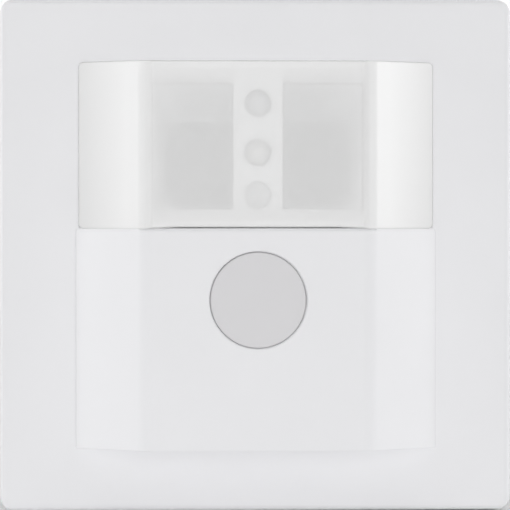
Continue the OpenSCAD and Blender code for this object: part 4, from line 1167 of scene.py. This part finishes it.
disc = middle_of("varistor")
disc_foot = at(disc.x, on_wall("varistor")[0].y, disc.z)
can_foot = board_foot("storage_capacitor")
SPUN = (
    ("storage_capacitor_sleeve", "storage_capacitor", can_foot, BACK, sleeve_blue, (
        (3.5, 0), (3.9, 0.2), (4.0, 0.5), (4.0, 1.5), (3.65, 1.8), (3.65, 2.1), (4.0, 2.4), (4.0, 12.1),
        (3.85, 12.4), (3.5, 12.5), (3.2, 12.4), (3.2, 12.0))),
    ("storage_capacitor_top", "storage_capacitor", can_foot, BACK, aluminium, (
        (3.2, 11.8), (3.2, 12.2), (3.0, 12.3), (0.2, 12.3))),
    ("varistor_disc", "varistor", disc_foot, UP, varistor_blue, (
        (3.2, 0), (4.2, 0.2), (4.8, 0.7), (5.0, 1.4), (5.0, 2.6), (4.8, 3.3), (4.2, 3.8), (3.2, 4.0))),
    ("fuse_case", "fuse", board_foot("fuse"), BACK, fuse_brown, (
        (3.8, 0), (4.0, 0.2), (4.0, 1.0), (3.8, 1.2), (3.7, 6.9), (3.5, 7.4), (3.1, 7.6), (2.0, 7.6),
        (1.9, 7.3), (0.2, 7.3))),
    ("choke_drum", "choke", board_foot("choke"), BACK, ferrite, (
        (3.4, 0), (3.5, 0.1), (3.5, 1.2), (3.4, 1.3), (2.3, 1.3), (2.3, 8.7), (3.4, 8.7), (3.5, 8.8),
        (3.5, 9.9), (3.4, 10))),
)
for name, node, foot, along, material, profile in SPUN:
    finished(name, turned(name, foot, along, SIDE, profile), node, material)

# %% [markdown]
# ## The choke's winding
# Copper wire lies in one layer between the flanges of the drum, turn beside turn. Stacked rings would look
# alike from afar, but a spiral curve with a round profile swept along it is what a winding is.

# %% Winding
WIRE_D = 0.45
WIRE_SPACING = 1.04
WIND_LENGTH = 6.8
DRUM_LENGTH = 10
DRUM_CORE_R = 2.3
winding_tree, size = size_tree("choke_winding", **{
    "Turns": "Float", "Radius": "Float", "Length": "Float", "Wire Radius": "Float", "Turn": "Vector"})
coil = add_node(winding_tree, "GeometryNodeCurveSpiral", {
    "Resolution": 32, "Rotations": size["Turns"], "Start Radius": size["Radius"],
    "End Radius": size["Radius"], "Height": size["Length"]})
round_wire = add_node(winding_tree, "GeometryNodeCurvePrimitiveCircle", {
    "Resolution": 8, "Radius": size["Wire Radius"]})
wire = add_node(winding_tree, "GeometryNodeCurveToMesh", {
    "Curve": coil.outputs["Curve"], "Profile Curve": round_wire.outputs["Curve"], "Fill Caps": True})
windings = add_node(winding_tree, "GeometryNodeInstanceOnPoints", {
    "Points": size["Places"], "Instance": wire.outputs["Mesh"], "Rotation": size["Turn"]})
end_tree(winding_tree, windings.outputs[0], copper)
winding_place = board_foot("choke") + BACK * (DRUM_LENGTH - WIND_LENGTH) / 2 * MM
winding_mesh = grown("choke_winding", winding_tree, [winding_place], **{
    "Turns": WIND_LENGTH / (WIRE_D * WIRE_SPACING), "Radius": (DRUM_CORE_R + WIRE_D / 2) * MM,
    "Length": WIND_LENGTH * MM, "Wire Radius": WIRE_D / 2 * MM, "Turn": (math.radians(-90), 0, 0)})
finished("choke_winding", winding_mesh, "choke", copper)

# %% [markdown]
# ## Floor
# The switch stands on a plain pale floor, which keeps its shadow and is otherwise not noticed. It is one
# large face, a hair below the frame, and belongs to the stage and not to the switch.

# %% Painted floor
FLOOR_HALF = 1.2
FLOOR_GAP = 0.1 * MM
frame_low, frame_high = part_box("cover_frame")
floor_mesh = bpy.data.meshes.new("floor")
floor_mesh.from_pydata([(sx * FLOOR_HALF, sy * FLOOR_HALF, frame_low.z - FLOOR_GAP)
                        for sx, sy in ((-1, -1), (1, -1), (1, 1), (-1, 1))], [], [(0, 1, 2, 3)])
floor = in_scene("floor", floor_mesh)
# Matt wall paint: nearly white, with no shine at all.
floor_paint = new_finish("floor_pale_painted", base_color=linear("#f6f6f6"), roughness=0.9)[0]
floor.data.materials.append(floor_paint)
print("floor at", round((frame_low.z - FLOOR_GAP) / MM, 2), "mm")

# %% [markdown]
# ## Background
# A pale world fills the shadows. Rays that go straight to the background, or are mirrored there or pass
# through to it, see plain white. A white backdrop could do that too, but it would throw its light back on
# the switch.

# %% World
FILL = 0.18
world = bpy.data.worlds.new("studio")
bpy.context.scene.world = world
world.use_nodes = True
sky = world.node_tree
sky.nodes.clear()
ray = add_node(sky, "ShaderNodeLightPath").outputs
straight_or_mirrored = add_node(sky, "ShaderNodeMath", {
    0: ray["Is Camera Ray"], 1: ray["Is Glossy Ray"]}, operation="MAXIMUM")
plain_white = add_node(sky, "ShaderNodeMath", {
    0: straight_or_mirrored.outputs[0], 1: ray["Is Transmission Ray"]}, operation="MAXIMUM")
level = add_node(sky, "ShaderNodeMapRange", {
    "Value": plain_white.outputs[0], "To Min": FILL, "To Max": 1.0})
glow = add_node(sky, "ShaderNodeBackground", {
    "Color": linear("#ffffff"), "Strength": level.outputs["Result"]})
add_node(sky, "ShaderNodeOutputWorld", {"Surface": glow.outputs["Background"]})
print("fill", FILL)

# %% [markdown]
# ## Light
# The photograph is lit softly from both sides: the slanted flanks are a little brighter than the flat middle.
# Two broad lamps stand far out at the sides. In front are a level strip and a tall narrow lamp, so that no
# hard shadow falls below the plate, and weaker ones hang above and behind.

# %% Lamps
def soft_lamp(name, place, width, height, watts):
    """A broad lamp that looks at the switch."""
    light = bpy.data.lights.new(name, "AREA")
    light.shape = "RECTANGLE"
    light.size = width
    light.size_y = height
    light.energy = watts
    lamp = in_scene(name, light)
    lamp.location = place
    lamp.rotation_euler = (-Vector(place)).to_track_quat("-Z", "Z").to_euler()
    lamp.visible_camera = False


def around(azimuth_deg, height, distance):
    """A place round the switch in metres: azimuth 0 is straight in front, positive to the right."""
    a = math.radians(azimuth_deg)
    return (distance * math.sin(a), -distance * math.cos(a), height)


# Each lamp has its place, its width and height in metres, and its power in watts.
LAMPS = {
    "left_lamp": (around(-88, 0.22, 1.8), 0.6, 0.56, 10.8),
    "right_lamp": (around(88, 0.22, 1.8), 0.6, 0.56, 10.0),
    "front_lamp": (around(0, 0, 1.5), 1.2, 0.075, 9.2),
    "high_lamp": (around(0, 0.25, 1.5), 0.1, 0.56, 2.4),
    "top_lamp": ((0, -0.03, 1.0), 1.0, 0.15, 2.4),
    "back_left_lamp": (around(-140, 0.3, 0.9), 0.6, 0.8, 2.4),
    "back_right_lamp": (around(140, 0.3, 0.9), 0.6, 0.8, 2.4),
}
for name, (place, width, height, watts) in LAMPS.items():
    soft_lamp(name, place, width, height, watts)
    print(name, watts, "W")

# %% [markdown]
# ## Camera
# The frame fills the square picture edge to edge, seen straight on from about 60 cm, so a long lens is set by
# that distance and the frame's width. The button stands a little to the right of the frame's middle in the
# photograph, as seen by a camera slightly to the left and above.

# %% Camera
CAMERA_DISTANCE = 600 * MM
CAMERA_LEFT = 25 * MM
CAMERA_UP = 7 * MM
AIM_LEFT = 0.11 * MM
FILL_FRAME = 1.002
EDGE_ROUND = 0.8 * MM
SENSOR_WIDTH = 36.0
CLIP_START = 0.01
middle = (frame_low + frame_high) / 2
camera_data = bpy.data.cameras.new("camera")
camera_data.sensor_width = SENSOR_WIDTH
camera_data.lens = FILL_FRAME * SENSOR_WIDTH * CAMERA_DISTANCE / (frame_high.x - frame_low.x)
camera_data.clip_start = CLIP_START
camera = in_scene("camera", camera_data)
camera.location = (
    middle.x - CAMERA_LEFT, frame_low.y + EDGE_ROUND - CAMERA_DISTANCE, middle.z + CAMERA_UP)
aim = Vector((middle.x - AIM_LEFT, frame_low.y + EDGE_ROUND, middle.z)) - camera.location
camera.rotation_euler = aim.to_track_quat("-Z", "Y").to_euler()
bpy.context.scene.camera = camera
bpy.context.scene.view_settings.view_transform = "Standard"
print("lens", round(camera_data.lens, 1), "mm")
